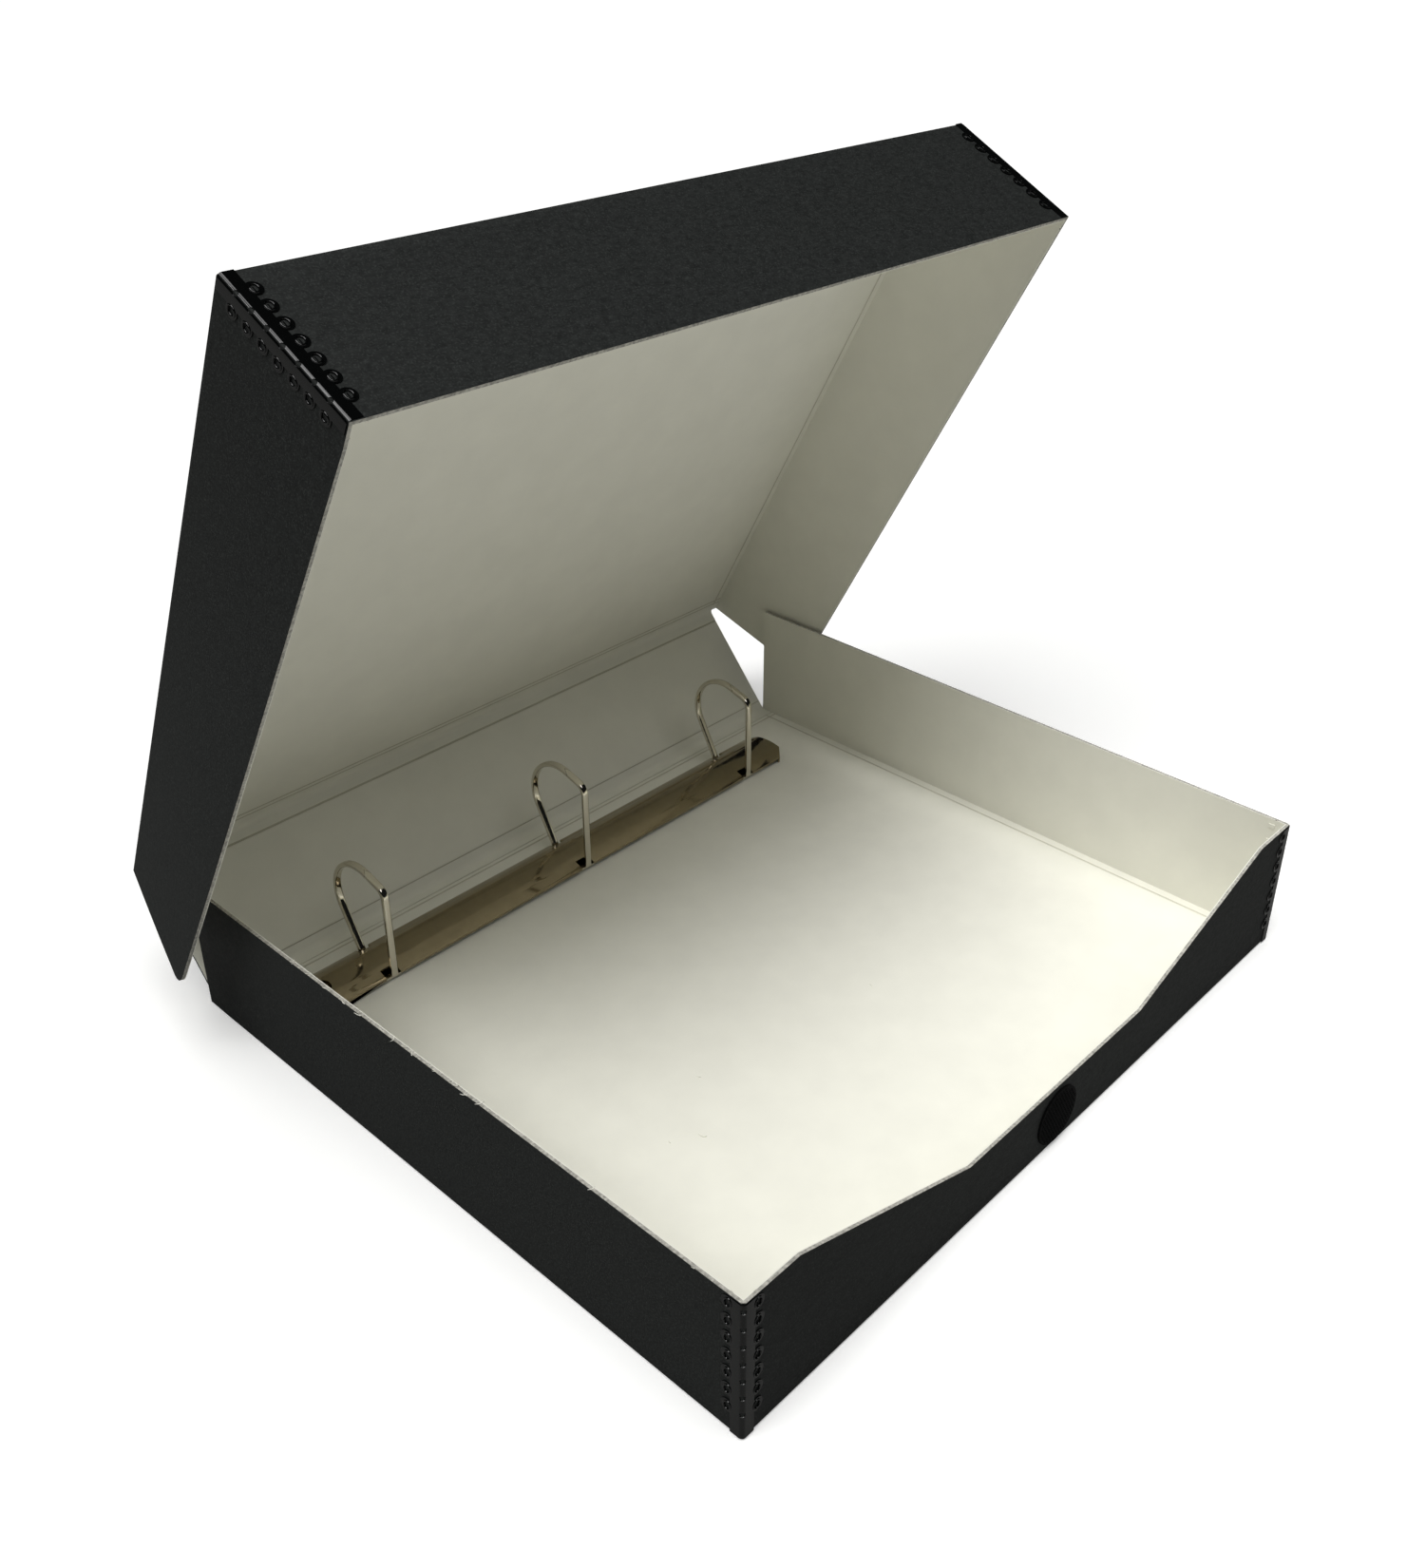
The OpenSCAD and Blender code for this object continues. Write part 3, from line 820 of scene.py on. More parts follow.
def strip(name, path, half_width, thickness):
    """A strip of sheet along x, extruded along a path of (y, z) points in the row frame."""
    (y0, z0), (y1, z1) = path[:2]
    bpy.ops.mesh.primitive_plane_add(size=1, location=(0, 0, 0))
    piece = bpy.context.object
    piece.name = name
    edit(piece)
    select_in(piece, verts=lambda v: v.co.y < 0)
    mesh = bmesh.from_edit_mesh(piece.data)
    for vert in mesh.verts:
        side = 1 if vert.co.x > 0 else -1
        y, z = (y0, z0) if vert.select else (y1, z1)
        vert.co = Vector((side * half_width, y, z))
    bmesh.update_edit_mesh(piece.data)
    for (ya, za), (yb, zb) in zip(path[1:], path[2:]):
        select_in(
            piece,
            edges=lambda e: all(abs(v.co.y - ya) + abs(v.co.z - za) < MERGE for v in e.verts),
        )
        bpy.ops.mesh.extrude_region_move(TRANSFORM_OT_translate={"value": (0, yb - ya, zb - za)})
    closed_up()
    done(piece)
    apply_modifier(piece, "SOLIDIFY", thickness=thickness, offset=0)
    return piece


class ARCHIVAL_OT_creases(bpy.types.Operator):
    """Lays the lining paper over both creases, bent round them as the spine and the lid stand at
    rest
    """

    bl_idname = "archival.creases"
    bl_label = "Crease papers"

    def execute(self, context):
        size = context.scene.archival_board
        half_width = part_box("spine_lining")[1].x
        for name, lower, upper in (("rear", "base", "spine"), ("upper", "spine", "lid")):
            joint = JOINTS[CREASE_OF[upper]]
            pivot = Vector(joint["pos_m"])
            up, forward = Vector((0, 0, 1)), Vector((0, -1, 0))
            below_turn = body_place("spine").to_3x3()
            above_turn = body_place(upper).to_3x3()
            below = forward if lower == "base" else -(below_turn @ up)
            above = above_turn @ (up if upper == "spine" else forward)
            face_below = up if lower == "base" else below_turn @ forward
            face_above = above_turn @ (forward if upper == "spine" else -up)
            lift = WALL_T / 2 + size.paper_lift
            reach = size.crease_band
            points = []
            for share in CREASE_STEPS:
                points.append(pivot + below * reach * share + face_below * lift)
            for share in reversed(CREASE_STEPS):
                points.append(pivot + above * reach * share + face_above * lift)
            middle = (points[4] + points[5]) / 2
            points.insert(5, middle)
            piece = strip(
                name + "_crease_paper", [(p.y, p.z) for p in points], half_width, size.crease_paper,
            )
            give(piece, MATERIALS["white"])
            smooth(piece, 40)
            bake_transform(piece)
        return {"FINISHED"}


REAR_FIBRES = 20  # of the rim's fibres, those on its rear half
RIM_FIBRES = 26
FLOOR_LINT = 4


class ARCHIVAL_OT_fibres(bpy.types.Operator):
    """Lifts a few torn paper fibres off the guillotined rims and drops lint on the floor"""

    bl_idname = "archival.fibres"
    bl_label = "Paper fibres"

    def execute(self, context):
        size = context.scene.archival_board
        low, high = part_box("base_lining")
        left, rim = low.x, high.z
        dice = random.Random(11)
        bpy.ops.mesh.primitive_cone_add(
            vertices=5, radius1=size.fibre_thick, radius2=size.fibre_thick / 4,
            depth=size.fibre_length,
        )
        fibre = context.object
        edit(fibre)
        bpy.ops.mesh.select_all(action="SELECT")
        bpy.ops.mesh.subdivide(number_cuts=2)
        select_in(fibre, verts=lambda v: abs(v.co.z) < size.fibre_length / 4)
        bpy.ops.transform.translate(value=(size.fibre_length / 6, 0, 0))
        done(fibre)
        settle(fibre)
        copies = []
        for i in range(RIM_FIBRES + FLOOR_LINT):
            on_floor = i >= RIM_FIBRES
            if on_floor:
                place = Vector((
                    dice.uniform(-0.6, 0.6) * high.x, dice.uniform(-0.6, 0.5) * CREASE_Y,
                    WALL_T + size.fibre_thick,
                ))
                tilt = math.radians(90)
            else:
                along = dice.uniform(-0.2, 0.92) if i < REAR_FIBRES else dice.uniform(-0.9, 0.0)
                place = Vector((
                    left - dice.uniform(0.3, 1.3) * MM, along * CREASE_Y, rim + 0.1 * MM,
                ))
                tilt = dice.uniform(0.6, 1.4)
            heading = dice.uniform(0, 6.28) if on_floor or i % 3 == 0 else dice.uniform(-2.4, -0.8)
            turn = Euler((tilt, 0, heading)).to_matrix().to_4x4()
            scale = Matrix.Scale(dice.uniform(0.5, 1.1), 4)
            copies.append(place_copy(fibre, "fibre", Matrix.Translation(place) @ turn @ scale))
        bpy.data.objects.remove(fibre)
        piece = joined(copies)
        piece.name = "loose_paper_fibres"
        give(piece, MATERIALS["white"])
        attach(piece, "base")
        return {"FINISHED"}


# ---- Ring mechanism ----

RING_X = (-107.95 * MM, 0.0, 107.95 * MM)  # punched holes of letter-size sheets
RING_NAMES = ("left", "middle", "right")


def ring_numbers():
    """The ring's centre line in (y, z) about the middle of the mechanism."""
    size = bpy.context.scene.archival_ring
    foot = Vector((size.leg_reach, size.foot_z))
    bend = Vector((-size.leg_reach, WALL_T + size.bend_height))
    centre = Vector((size.round_shift, WALL_T + size.round_height))

    def touch(point, turn):
        v = point - centre
        angle = math.atan2(v.y, v.x) + turn * math.acos(size.round_radius / v.length)
        return angle

    return foot, bend, centre, touch(bend, -1), touch(foot, 1)


def whole_ring():
    """One closed ring: a rounded bar drawn up the leg, round the bend, along the roof, round
    the arc and down to the rear foot."""
    size = bpy.context.scene.archival_ring
    foot, bend, centre, roof_angle, leg_angle = ring_numbers()
    r, b = size.round_radius, size.bend_radius
    roof_normal = Vector((math.cos(roof_angle), math.sin(roof_angle)))
    bend_centre = Vector((b - size.leg_reach, 0))
    bend_centre.y = centre.y + (r - b - (bend_centre.x - centre.x) * roof_normal.x) / roof_normal.y
    start = Vector((0, -size.leg_reach, size.foot_z))
    bpy.ops.mesh.primitive_plane_add(size=1, location=start)
    piece = bpy.context.object
    piece.name = "whole_ring"
    piece.scale = (size.wire_width, size.wire_thick, 1)
    settle(piece)
    edit(piece)
    bpy.ops.mesh.select_all(action="SELECT")
    bpy.ops.mesh.bevel(offset=size.wire_round, segments=4, affect="VERTICES")

    def straight(move):
        bpy.ops.mesh.extrude_region_move(TRANSFORM_OT_translate={"value": (0, move.x, move.y)})

    def round_corner(middle, angle, steps):
        bpy.ops.mesh.spin(steps=steps, angle=angle, center=(0, middle.x, middle.y), axis=(1, 0, 0))

    bpy.ops.mesh.select_all(action="SELECT")
    straight(Vector((0, bend_centre.y - size.foot_z)))
    round_corner(bend_centre, math.pi - roof_angle, 8)
    straight((centre + roof_normal * r) - (bend_centre + roof_normal * b))
    round_corner(centre, roof_angle - leg_angle, 40)
    leg_normal = Vector((math.cos(leg_angle), math.sin(leg_angle)))
    tangent = centre + leg_normal * r
    straight(foot - tangent)
    closed_up(MERGE)
    done(piece)
    return piece


def split_prism(gap):
    """The block that holds the front half of a ring, with the zig-zag joint as its rear face."""
    size = bpy.context.scene.archival_ring
    half, tip = size.wire_width / 2, size.split_tip
    middle = size.round_shift - size.split_shift
    far = 60 * MM
    outline = [
        (-half - MM, -far), (half + MM, -far), (half + MM, middle - tip + gap),
        (half, middle - tip + gap), (0, middle + tip + gap), (-half, middle - tip + gap),
        (-half - MM, middle - tip + gap),
    ]
    return prism(outline, size.round_height, size.round_height + far)


def ring_half(whole, front):
    """One half of the ring, cut at the zig-zag joint."""
    size = bpy.context.scene.archival_ring
    piece = fresh("ring_half", whole.data)
    cutter = split_prism(0.0 if front else size.split_gap)
    combine(piece, cutter, "INTERSECT" if front else "DIFFERENCE")
    return piece


class ARCHIVAL_OT_rings(bpy.types.Operator):
    """Draws one ring, splits it at its zig-zag joint and sets the halves in their leaves"""

    bl_idname = "archival.rings"
    bl_label = "Rings"

    def execute(self, context):
        whole = whole_ring()
        for side, front in (("front", True), ("rear", False)):
            half = ring_half(whole, front)
            for name, x in zip(RING_NAMES, RING_X):
                piece = fresh(name + "_" + side + "_ring_wire", half.data)
                piece.location = (x, MECH_Y, 0)
                settle(piece)
                give(piece, MATERIALS["nickel"])
                smooth(piece, 40)
                finish_piece(
                    piece, side + "_ring_set", "nickel_plate", name + "_" + side + "_ring_half",
                )
            bpy.data.objects.remove(half)
        bpy.data.objects.remove(whole)
        return {"FINISHED"}


# ---- Metal edges, housing, eyelet and dots ----

STRIP_CORNER = 2.2 * MM  # chamfer behind the folded strip
EYE_HOLE = 0.34  # an eye hole's radius, as a share of the eye's width
PRONG_SET = 0.2 * MM  # from the eye's middle back to its prong
PRONG_THICK = 0.4 * MM
PRONG_FLUSH = 0.02 * MM  # how far a prong's root stands off the board
STRIP_BURR = 0.09 * MM
EDGE_CLEAR = 0.25 * MM  # clearance of the CAD strip that the thinner one sits in
TALL = 20 * MM  # height of the tools that cut right through the housing
NOTCH_FLOOR = 0.6 * MM
FRONT_NOTCH = (3.1 * MM, 0.7 * MM, 4.6 * MM)  # left of the wire, right of it, depth
REAR_NOTCH = (0.7 * MM, 1.9 * MM, 3.2 * MM)
STAKE = (6.4 * MM, 5.4 * MM, 0.75 * MM)  # right of its ring, back, below the crown
STAKE_RADIUS = 1.9 * MM
STAKE_SHAPE = (1.0, 0.72, 0.24)
END_SLOTS = (2.6 * MM, 6.2 * MM)
END_SLOT_LOW = 3.2 * MM
END_SLOT_REACH = (5.2 * MM, 3.9 * MM)
END_SLOT_WIDTH = 1.9 * MM
END_LIP = 6 * MM  # where the front and rear lips stop short of the right end
RIVET_HOLE = 2.1 * MM
HEAD_RADIUS, HEAD_THICK = 4.5 * MM, 0.6 * MM
TUBE_RADIUS, BORE_RADIUS, BORE_FLOOR = 2 * MM, 1.4 * MM, 0.7 * MM
FLANGE_RADIUS, FLANGE_ROLL = 3.9 * MM, 0.34 * MM
AXIS = 0.005 * MM  # the lathe outline stops this far from its axis
HOOK_PITCH, HOOK_ROW = 1.5 * MM, 0.87  # hook spacing, and the rows' share of it
HOOK_RADIUS, HOOK_THICK = 0.27 * MM, 0.12 * MM
HOOK_MARGIN = 0.9 * MM


def pressed_edge(height, shift):
    """One stamped strip about its corner, walls along +x and +y: a dimpled ridge, scallops,
    slanted eyes with rolled rims, and the clinched prongs behind them, papered over."""
    size = bpy.context.scene.archival_edge
    thick, ridge, low, high = size.strip_thick, size.ridge, size.inset, height - size.inset
    band = size.reach - 2 * size.scallop + size.scallop_root
    eye_x = size.reach - size.scallop
    first = height / 2 - (size.eye_count - 1) / 2 * size.pitch + shift
    heights = [first + i * size.pitch for i in range(size.eye_count)]
    corner = (ridge - thick, ridge - thick)
    outline = [
        (band, -thick), *arc_points(corner, ridge, -math.pi / 2, -math.pi, 8), (-thick, band),
        (0, band), (0, STRIP_CORNER), (STRIP_CORNER, 0), (band, 0),
    ]
    strip_piece = prism(outline, low, high)
    across = (math.radians(90), 0, 0)
    lean_x, lean_y = (0, size.eye_slant, 0), (size.eye_slant, 0, 0)
    scallops, slots, extras, punches = [], [], [], []
    for z in heights:
        for flip in (False, True):
            place = (-thick / 2, eye_x, z) if flip else (eye_x, -thick / 2, z)
            turn = (0, math.radians(90), 0) if flip else across
            scallops.append(drum(place, size.scallop, thick, turn, vertices=40))
            slot_turn = Euler(lean_y if flip else lean_x).to_matrix() @ Euler(turn).to_matrix()
            flat = (
                size.eye_height / size.eye_width, 1, 1,
            ) if flip else (1, size.eye_height / size.eye_width, 1)
            slots.append(drum(
                place, size.eye_width * EYE_HOLE, 3 * thick, slot_turn.to_euler(), flat, 20,
            ))
            rim_place = (-thick, eye_x, z) if flip else (eye_x, -thick, z)
            bpy.ops.mesh.primitive_torus_add(
                location=rim_place, rotation=slot_turn.to_euler(),
                major_radius=size.eye_width / 2 - size.eye_rim,
                minor_radius=size.eye_rim, major_segments=28, minor_segments=8,
            )
            rim = bpy.context.object
            rim.scale = flat
            give(rim, MATERIALS["enamel"])
            extras.append(settle(rim))
            width = size.prong_width / 2
            start, end = eye_x - PRONG_SET, eye_x + size.prong_reach
            stem = ((start, -PRONG_FLUSH), (start + PRONG_THICK, WALL_T))
            clinch = ((start, WALL_T), (end, WALL_T + thick))
            for (a, b), finish in ((stem, "enamel"), (clinch, "white")):
                turn_over = slice(None, None, -1 if flip else 1)
                prong = block((*a[turn_over], z - width), (*b[turn_over], z + width))
                give(prong, MATERIALS[finish])
                extras.append(prong)
        reach = (ridge + size.dimple - size.dimple_depth) * math.sqrt(0.5)
        punches.append(ball((corner[0] - reach, corner[1] - reach, z), size.dimple, (1, 1, 0.85)))
    combine(strip_piece, joined(scallops), "UNION")
    combine(strip_piece, joined(slots), "DIFFERENCE")
    combine(strip_piece, joined(punches), "DIFFERENCE")
    apply_modifier(
        strip_piece, "BEVEL", width=STRIP_BURR, segments=2, limit_method="ANGLE",
        angle_limit=math.radians(42),
    )
    give(strip_piece, MATERIALS["enamel"])
    piece = joined([strip_piece, *extras])
    smooth(piece, 42)
    return piece


class ARCHIVAL_OT_edges(bpy.types.Operator):
    """Stamps one metal edge for each height and clinches copies on the four corners"""

    bl_idname = "archival.edges"
    bl_label = "Metal edges"

    def execute(self, context):
        size = context.scene.archival_edge
        for body, prefix in (("base", "tray"), ("lid", "lid")):
            shut = to_shut(body)
            node = frame["nodes"][body + "_left_metal_edge"]
            low, high = span([shut @ v.co for v in node.data.vertices])
            foot = low.z - size.inset
            source = pressed_edge(
                high.z - low.z + 2 * size.inset, size.tray_shift if body == "base" else 0.0,
            )
            lift = size.strip_thick + EDGE_CLEAR
            for side, name in ((-1, "left"), (1, "right")):
                corner = Vector((side * -(low.x + lift), low.y + lift, foot))
                corner.x = side * abs(low.x + lift)
                mirror = Matrix.Diagonal((-side, 1, 1, 1))
                matrix = shut.inverted() @ Matrix.Translation(corner) @ mirror
                piece = place_copy(source, prefix + "_" + name + "_metal_edge", matrix)
                smooth(piece, 42)
                finish_piece(piece, body, "enamelled_edge", body + "_" + name + "_metal_edge")
            bpy.data.objects.remove(source)
        return {"FINISHED"}


def housing_outline(inset):
    """The housing's plan, drawn in: a round left end and a chamfered right end."""
    size = bpy.context.scene.archival_mechanism
    half = size.width / 2 - inset
    left = size.width / 2 - size.length / 2 - size.shift
    right = size.length / 2 - size.shift - inset
    chamfer = size.chamfer
    return [
        *arc_points((left, 0), half, math.radians(90), math.radians(270), 40),
        (right - chamfer, -half), (right, chamfer - half),
        (right, half - chamfer), (right - chamfer, half),
    ]


def crown_prism(inset):
    """The arched bar the housing is pressed from, drawn in and laid along x."""
    size = bpy.context.scene.archival_mechanism
    rise = size.crown - size.skirt
    radius = (size.width**2 / 4 + rise**2) / (2 * rise)
    middle = WALL_T + size.crown - radius
    half = size.width / 2 - inset
    spread = math.asin(half / (radius - inset))
    arc = arc_points((0, middle), radius - inset, math.pi / 2 + spread, math.pi / 2 - spread, 36)
    bottom = WALL_T - (MM if inset else 0)
    outline = [(half, bottom), (-half, bottom), *arc]
    length = size.length
    piece = prism(outline, -length, length)
    piece.rotation_euler = (math.radians(90), 0, math.radians(90))
    return settle(piece)


class ARCHIVAL_OT_housing(bpy.types.Operator):
    """Presses the arched housing with its notches, embossed stakes and dished left end"""

    bl_idname = "archival.housing"
    bl_label = "Ring housing"

    def execute(self, context):
        size = context.scene.archival_mechanism
        wire = context.scene.archival_ring.wire_width / 2
        piece = crown_prism(0)
        combine(piece, prism(housing_outline(0), 0, TALL), "INTERSECT")
        half = size.width / 2
        x_rivet = size.rivet_inset - size.length / 2 - size.shift
        dish = WALL_T + size.dish_height
        inner = crown_prism(size.sheet)
        combine(inner, prism(housing_outline(size.sheet), 0, TALL), "INTERSECT")
        combine(
            inner, drum((x_rivet, 0, TALL / 2), size.dish_radius + size.sheet, TALL, vertices=64),
            "DIFFERENCE",
        )
        combine(piece, inner, "DIFFERENCE")
        bowl = drum((x_rivet, 0, dish + TALL / 4), size.dish_radius, TALL / 2, vertices=64)
        combine(piece, bowl, "DIFFERENCE")
        combine(piece, drum((x_rivet, 0, TALL / 4), RIVET_HOLE, TALL), "DIFFERENCE")
        reach = size.length / 2 - half
        gaps = []
        for side in (-1, 1):
            ends = sorted((side * (half - size.lip_over), side * (half + MM)))
            low = (-reach - size.shift, ends[0], WALL_T - MM)
            high = (reach + half - END_LIP - size.shift, ends[1], WALL_T + size.skirt - size.lip)
            gaps.append(block(low, high))
        combine(piece, joined(gaps), "DIFFERENCE")
        cutters, stakes = [], []
        for x in RING_X:
            left, right, depth = FRONT_NOTCH
            low = (x - wire - left, -half - MM, WALL_T + NOTCH_FLOOR)
            cutters.append(block(low, (x + wire + right, depth - half, TALL)))
            left, right, depth = REAR_NOTCH
            low = (x - wire - left, half - depth, WALL_T + NOTCH_FLOOR)
            cutters.append(block(low, (x + wire + right, half + MM, TALL)))
            along, back, below = STAKE
            place = (x + along, back, WALL_T + size.crown - below)
            stakes.append(ball(place, STAKE_RADIUS, STAKE_SHAPE))
        right = size.length / 2 - size.shift
        far, near = END_SLOT_REACH
        for y in END_SLOTS:
            low = (right - far, y, WALL_T + END_SLOT_LOW)
            cutters.append(block(low, (right - near, y + END_SLOT_WIDTH, TALL)))
        combine(piece, joined(cutters), "DIFFERENCE")
        combine(piece, joined(stakes), "UNION")
        apply_modifier(
            piece, "BEVEL", width=size.roll, segments=3, limit_method="ANGLE",
            angle_limit=math.radians(50),
        )
        piece.name = "pressed_ring_housing"
        piece.location = (0, MECH_Y, 0)
        settle(piece)
        give(piece, MATERIALS["housing"])
        smooth(piece, 30)
        finish_piece(piece, "base", "nickel_plate", "ring_housing")
        return {"FINISHED"}


def turned(outline):
    """A closed outline of (radius, z) points, spun once round the upright axis."""
    bpy.ops.mesh.primitive_circle_add(vertices=len(outline), radius=MM, fill_type="NOTHING")
    piece = bpy.context.object
    edit(piece)
    mesh = bmesh.from_edit_mesh(piece.data)
    mesh.verts.ensure_lookup_table()
    for vert, (radius, z) in zip(mesh.verts, outline):
        vert.co = Vector((radius, 0, z))
    bmesh.update_edit_mesh(piece.data)
    bpy.ops.mesh.select_all(action="SELECT")
    bpy.ops.mesh.spin(steps=48, angle=2 * math.pi, center=(0, 0, 0), axis=(0, 0, 1))
    closed_up(0.02 * MM)
    return done(piece)


class ARCHIVAL_OT_rivets(bpy.types.Operator):
    """Turns one eyelet, head, tube and rolled flange, and sets a copy at each end"""

    bl_idname = "archival.rivets"
    bl_label = "Eyelets"

    def execute(self, context):
        size = context.scene.archival_mechanism
        seat = WALL_T + size.dish_height
        roll = FLANGE_ROLL
        middle = (FLANGE_RADIUS - roll, seat + roll)
        rolled = arc_points(middle, roll, -math.pi / 2, math.pi / 2, 8)
        lip = arc_points((2.05 * MM, seat + 0.05 * MM), 0.65 * MM, math.pi / 2, math.pi, 6)
        outline = [
            (AXIS, 0), (HEAD_RADIUS, 0), (HEAD_RADIUS, HEAD_THICK), (TUBE_RADIUS, HEAD_THICK),
            (TUBE_RADIUS, seat), *rolled, *lip, (BORE_RADIUS, BORE_FLOOR), (AXIS, BORE_FLOOR),
        ]
        source = turned(outline)
        give(source, MATERIALS["nickel"])
        reach = size.length / 2
        ends = [size.rivet_inset - reach - size.shift, reach - size.rivet_inset - size.shift]
        copies = [place_copy(source, "rivet", Matrix.Translation((x, MECH_Y, 0))) for x in ends]
        bpy.data.objects.remove(source)
        piece = joined(copies)
        piece.name = "mechanism_eyelets"
        smooth(piece, 35)
        finish_piece(piece, "base", "nickel_plate", "mechanism_rivets")
        return {"FINISHED"}


class ARCHIVAL_OT_dots(bpy.types.Operator):
    """Makes the two fastener dots: a woven disc and its rows of hooks"""

    bl_idname = "archival.dots"
    bl_label = "Fastener dots"

    def execute(self, context):
        size = context.scene.archival_mechanism
        radius, thick = size.dot_radius, size.dot_thick
        pitch = HOOK_PITCH
        disc = drum((0, 0, 0.3 * thick), radius, 0.6 * thick, vertices=64)
        edit(disc)
        select_in(disc, faces=lambda f: f.normal.z > 0.9)
        bpy.ops.mesh.bevel(offset=0.2 * thick, segments=3, affect="EDGES")
        done(disc)
        bpy.ops.mesh.primitive_torus_add(
            location=(0, 0, 0.6 * thick), rotation=(math.radians(90), 0, 0),
            major_radius=HOOK_RADIUS, minor_radius=HOOK_THICK, major_segments=10, minor_segments=5,
        )
        hook = settle(context.object)
        hooks = []
        count = int(radius / pitch)
        for i in range(-count, count + 1):
            for j in range(-count, count + 1):
                x, y = (i + 0.5 * (j % 2)) * pitch, j * pitch * HOOK_ROW
                if math.hypot(x, y) < radius - HOOK_MARGIN:
                    twist = Matrix.Rotation(0.35 * math.sin(7.0 * i + 3.0 * j), 4, "Z")
                    hooks.append(place_copy(hook, "hook", Matrix.Translation((x, y, 0)) @ twist))
        bpy.data.objects.remove(hook)
        source = joined([disc, *hooks])
        give(source, MATERIALS["felt"])
        for node, body in (("hook_dot", "base"), ("loop_dot", "lid")):
            shut = to_shut(body)
            low, high = span([shut @ v.co for v in frame["nodes"][node].data.vertices])
            middle = (low + high) / 2
            middle.y = high.y if body == "base" else low.y
            stand = Matrix.Rotation(math.radians(90 if body == "base" else -90), 4, "X")
            piece = place_copy(
                source, "woven_" + node, shut.inverted() @ Matrix.Translation(middle) @ stand,
            )
            smooth(piece, 35)
            finish_piece(piece, body, "fastener_felt", node)
        bpy.data.objects.remove(source)
        return {"FINISHED"}


class ARCHIVAL_OT_finishes(bpy.types.Operator):
    """Makes the materials and gives them to the CAD nodes that stay in view"""

    bl_idname = "archival.finishes"
    bl_label = "Finishes"

    def execute(self, context):
        colours = context.scene.archival_colours
        MATERIALS.update(
            black=black_board(),
            white=lining_paper("uncoated_white_lining_paper", colours.lining, 0.02),
            # A darker copy of the lining paper: painted shade for the score grooves.
            pressed=lining_paper("lining_paper_painted_score_shade", colours.painted_score_shade, 0.07),
            nickel=nickel_plate("bright_nickel_plated_steel", colours.plate, 0.08, 0.05, 0.13),
            housing=nickel_plate("nickel_plated_pressed_sheet", colours.housing, 0.14, 0.06, 0.17),
            enamel=enamelled_steel(),
            felt=hook_felt(),
            cut_edge=cut_board_edge(),
        )
        for name, obj in frame["nodes"].items():
            give(obj, MATERIALS[NODE_MATERIALS.get(name, "nickel")])
        return {"FINISHED"}


# ---- Stage ----

ROOM_LIGHT = 0.01
FLOOR_LIFT = 0.3
FLOOR_BOUNCE = "#D2D2D0"
FLOOR_MIRRORED = "#848482"
FRONT_LAMP_PLACE = (0.1, -0.24, 0.45)
FRONT_LAMP_POWER = 0.12
LIGHTS = (
    ("overhead_panel", (0.0, 0.0, 1.0), 1.03),
    ("front_panel", (0.0, -0.5, 0.87), 0.42),
    ("left_panel", (-0.5, 0.0, 0.87), 1.57),
)
CAMERA_PLACE = (-0.393132937, -0.349784225, 0.421563921)
CAMERA_TURN = (1.04807853, -0.01020041, -0.8287846)
CAMERA_LENS = 40.1084
CAMERA_SHIFT = (-0.025512, -0.041158)
FLOOR_SIZE = 12.0
FLOOR_LEVEL = -0.2 * MM
SUN_ANGLE = 35
FRONT_LAMP_SIZE = 0.3
FRONT_LAMP_SPREAD = 75
CAMERA_SENSOR = 36


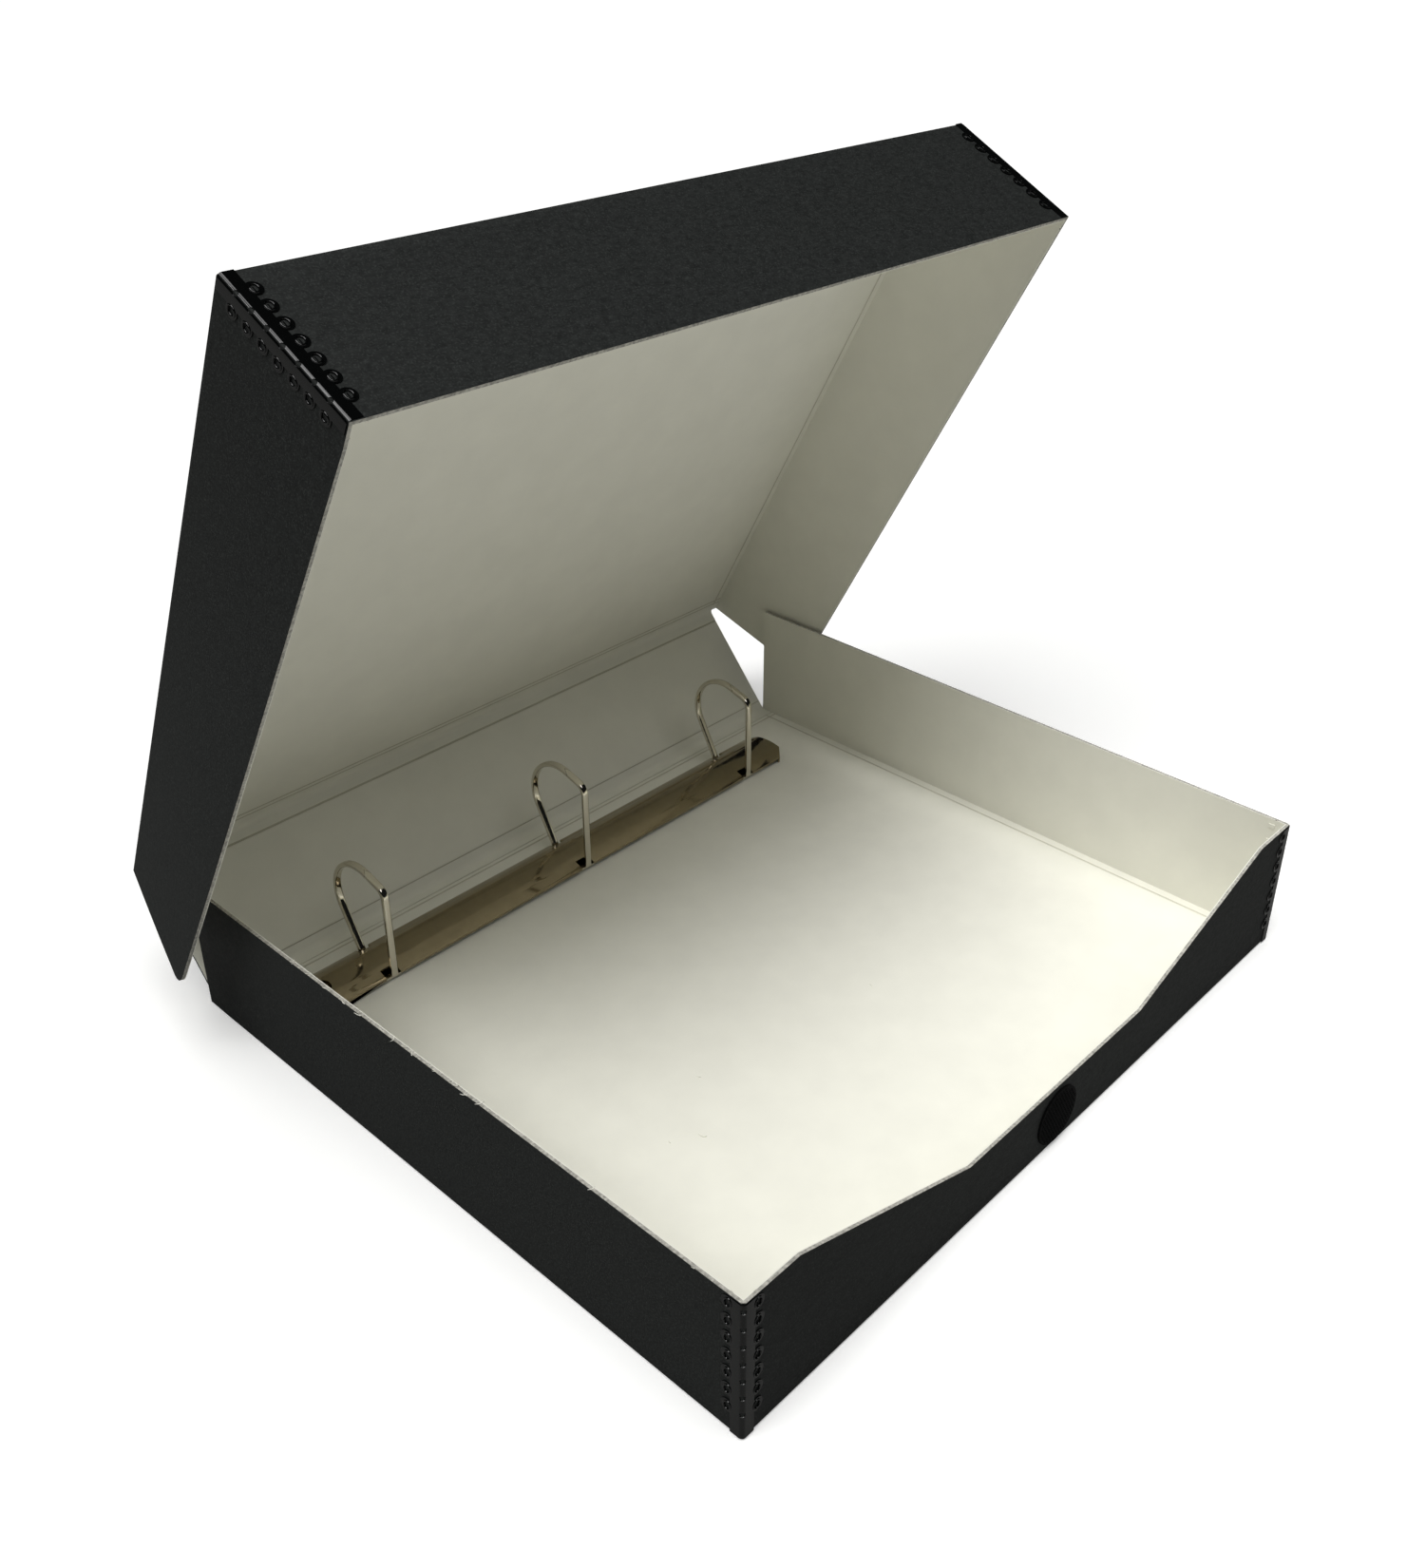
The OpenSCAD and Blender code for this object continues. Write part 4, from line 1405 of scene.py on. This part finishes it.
class ARCHIVAL_OT_stage(bpy.types.Operator):
    """Lays the floor, sets the soft lights and places the camera"""

    bl_idname = "archival.stage"
    bl_label = "Stage"

    def execute(self, context):
        scene = context.scene
        scene.view_settings.view_transform = "Standard"
        bpy.ops.mesh.primitive_plane_add(size=FLOOR_SIZE, location=(0, 0, FLOOR_LEVEL))
        floor = context.object
        floor.name = "studio_floor"
        material, tree = new_material("matt_white_studio_floor")
        path = add_node(tree, "ShaderNodeLightPath")
        matt = add_node(tree, "ShaderNodeBsdfDiffuse", {"Color": linear("#F2F2F0")})
        lift = add_node(
            tree, "ShaderNodeEmission", {"Color": linear("#FFFFFF"), "Strength": FLOOR_LIFT},
        )
        white = add_node(tree, "ShaderNodeAddShader", {}, {0: matt.outputs[0], 1: lift.outputs[0]})
        bounce = add_node(tree, "ShaderNodeBsdfDiffuse", {"Color": linear(FLOOR_BOUNCE)})
        dark = add_node(tree, "ShaderNodeBsdfDiffuse", {"Color": linear(FLOOR_MIRRORED)})
        unseen = add_node(
            tree, "ShaderNodeMixShader", {},
            {0: path.outputs["Is Glossy Ray"], 1: bounce.outputs[0], 2: dark.outputs[0]},
        )
        finish_material(
            tree,
            add_node(
                tree, "ShaderNodeMixShader", {},
                {0: path.outputs["Is Camera Ray"], 1: unseen.outputs[0], 2: white.outputs[0]},
            ),
        )
        give(floor, material)
        world = bpy.data.worlds.new("dim_room")
        scene.world = world
        world.use_nodes = True
        tree = world.node_tree
        tree.nodes.clear()
        seen = add_node(tree, "ShaderNodeLightPath").outputs["Is Camera Ray"]
        room = add_node(
            tree, "ShaderNodeBackground", {"Color": linear("#E8EAEC"), "Strength": ROOM_LIGHT},
        )
        sky = add_node(tree, "ShaderNodeBackground", {"Color": linear("#FFFFFF"), "Strength": 1.0})
        mix = add_node(
            tree, "ShaderNodeMixShader", {}, {0: seen, 1: room.outputs[0], 2: sky.outputs[0]},
        )
        output = add_node(tree, "ShaderNodeOutputWorld")
        tree.links.new(mix.outputs[0], output.inputs["Surface"])
        for name, direction, energy in LIGHTS:
            turn = Vector(direction).to_track_quat("Z", "Y").to_euler()
            bpy.ops.object.light_add(type="SUN", location=Vector(direction), rotation=turn)
            light = context.object
            light.name = name
            light.data.angle = math.radians(SUN_ANGLE)
            light.data.energy = energy
        bpy.ops.object.light_add(type="AREA", location=FRONT_LAMP_PLACE)
        lamp = context.object
        lamp.name = "front_lamp"
        lamp.data.size = FRONT_LAMP_SIZE
        lamp.data.energy = FRONT_LAMP_POWER
        lamp.data.spread = math.radians(FRONT_LAMP_SPREAD)
        bpy.ops.object.camera_add(location=CAMERA_PLACE, rotation=CAMERA_TURN)
        camera = context.object
        camera.data.lens = CAMERA_LENS
        camera.data.sensor_width = CAMERA_SENSOR
        camera.data.sensor_fit = "HORIZONTAL"
        camera.data.shift_x, camera.data.shift_y = CAMERA_SHIFT
        scene.camera = camera
        return {"FINISHED"}


OPERATORS = (
    "finishes", "boards", "linings", "creases", "fibres", "rings", "edges", "housing", "rivets",
    "dots", "stage",
)


class ARCHIVAL_PT_panel(bpy.types.Panel):
    """Lists the sizes and the steps that build the box"""

    bl_idname = "ARCHIVAL_PT_panel"
    bl_label = "Archival box"
    bl_space_type = "VIEW_3D"
    bl_region_type = "UI"
    bl_category = "Archival box"

    def draw(self, context):
        for step in OPERATORS:
            self.layout.operator("archival." + step)
        for group in GROUPS:
            sizes = getattr(context.scene, group)
            box = self.layout.box()
            for name in sizes.bl_rna.properties.keys()[2:]:
                box.prop(sizes, name)


GROUPS = {
    "archival_colours": ArchivalColours,
    "archival_board": ArchivalBoardSizes,
    "archival_ring": ArchivalRingSizes,
    "archival_edge": ArchivalEdgeSizes,
    "archival_mechanism": ArchivalMechanismSizes,
}
CLASSES = (
    *GROUPS.values(),
    ARCHIVAL_OT_finishes,
    ARCHIVAL_OT_boards,
    ARCHIVAL_OT_linings,
    ARCHIVAL_OT_creases,
    ARCHIVAL_OT_fibres,
    ARCHIVAL_OT_rings,
    ARCHIVAL_OT_edges,
    ARCHIVAL_OT_housing,
    ARCHIVAL_OT_rivets,
    ARCHIVAL_OT_dots,
    ARCHIVAL_OT_stage,
    ARCHIVAL_PT_panel,
)


def register():
    for cls in CLASSES:
        bpy.utils.register_class(cls)
    for name, group in GROUPS.items():
        setattr(bpy.types.Scene, name, bpy.props.PointerProperty(type=group))


def unregister():
    for name in GROUPS:
        delattr(bpy.types.Scene, name)
    for cls in reversed(CLASSES):
        bpy.utils.unregister_class(cls)


def main():
    register()
    for step in OPERATORS:
        getattr(bpy.ops.archival, step)()


if __name__ == "__main__":
    main()
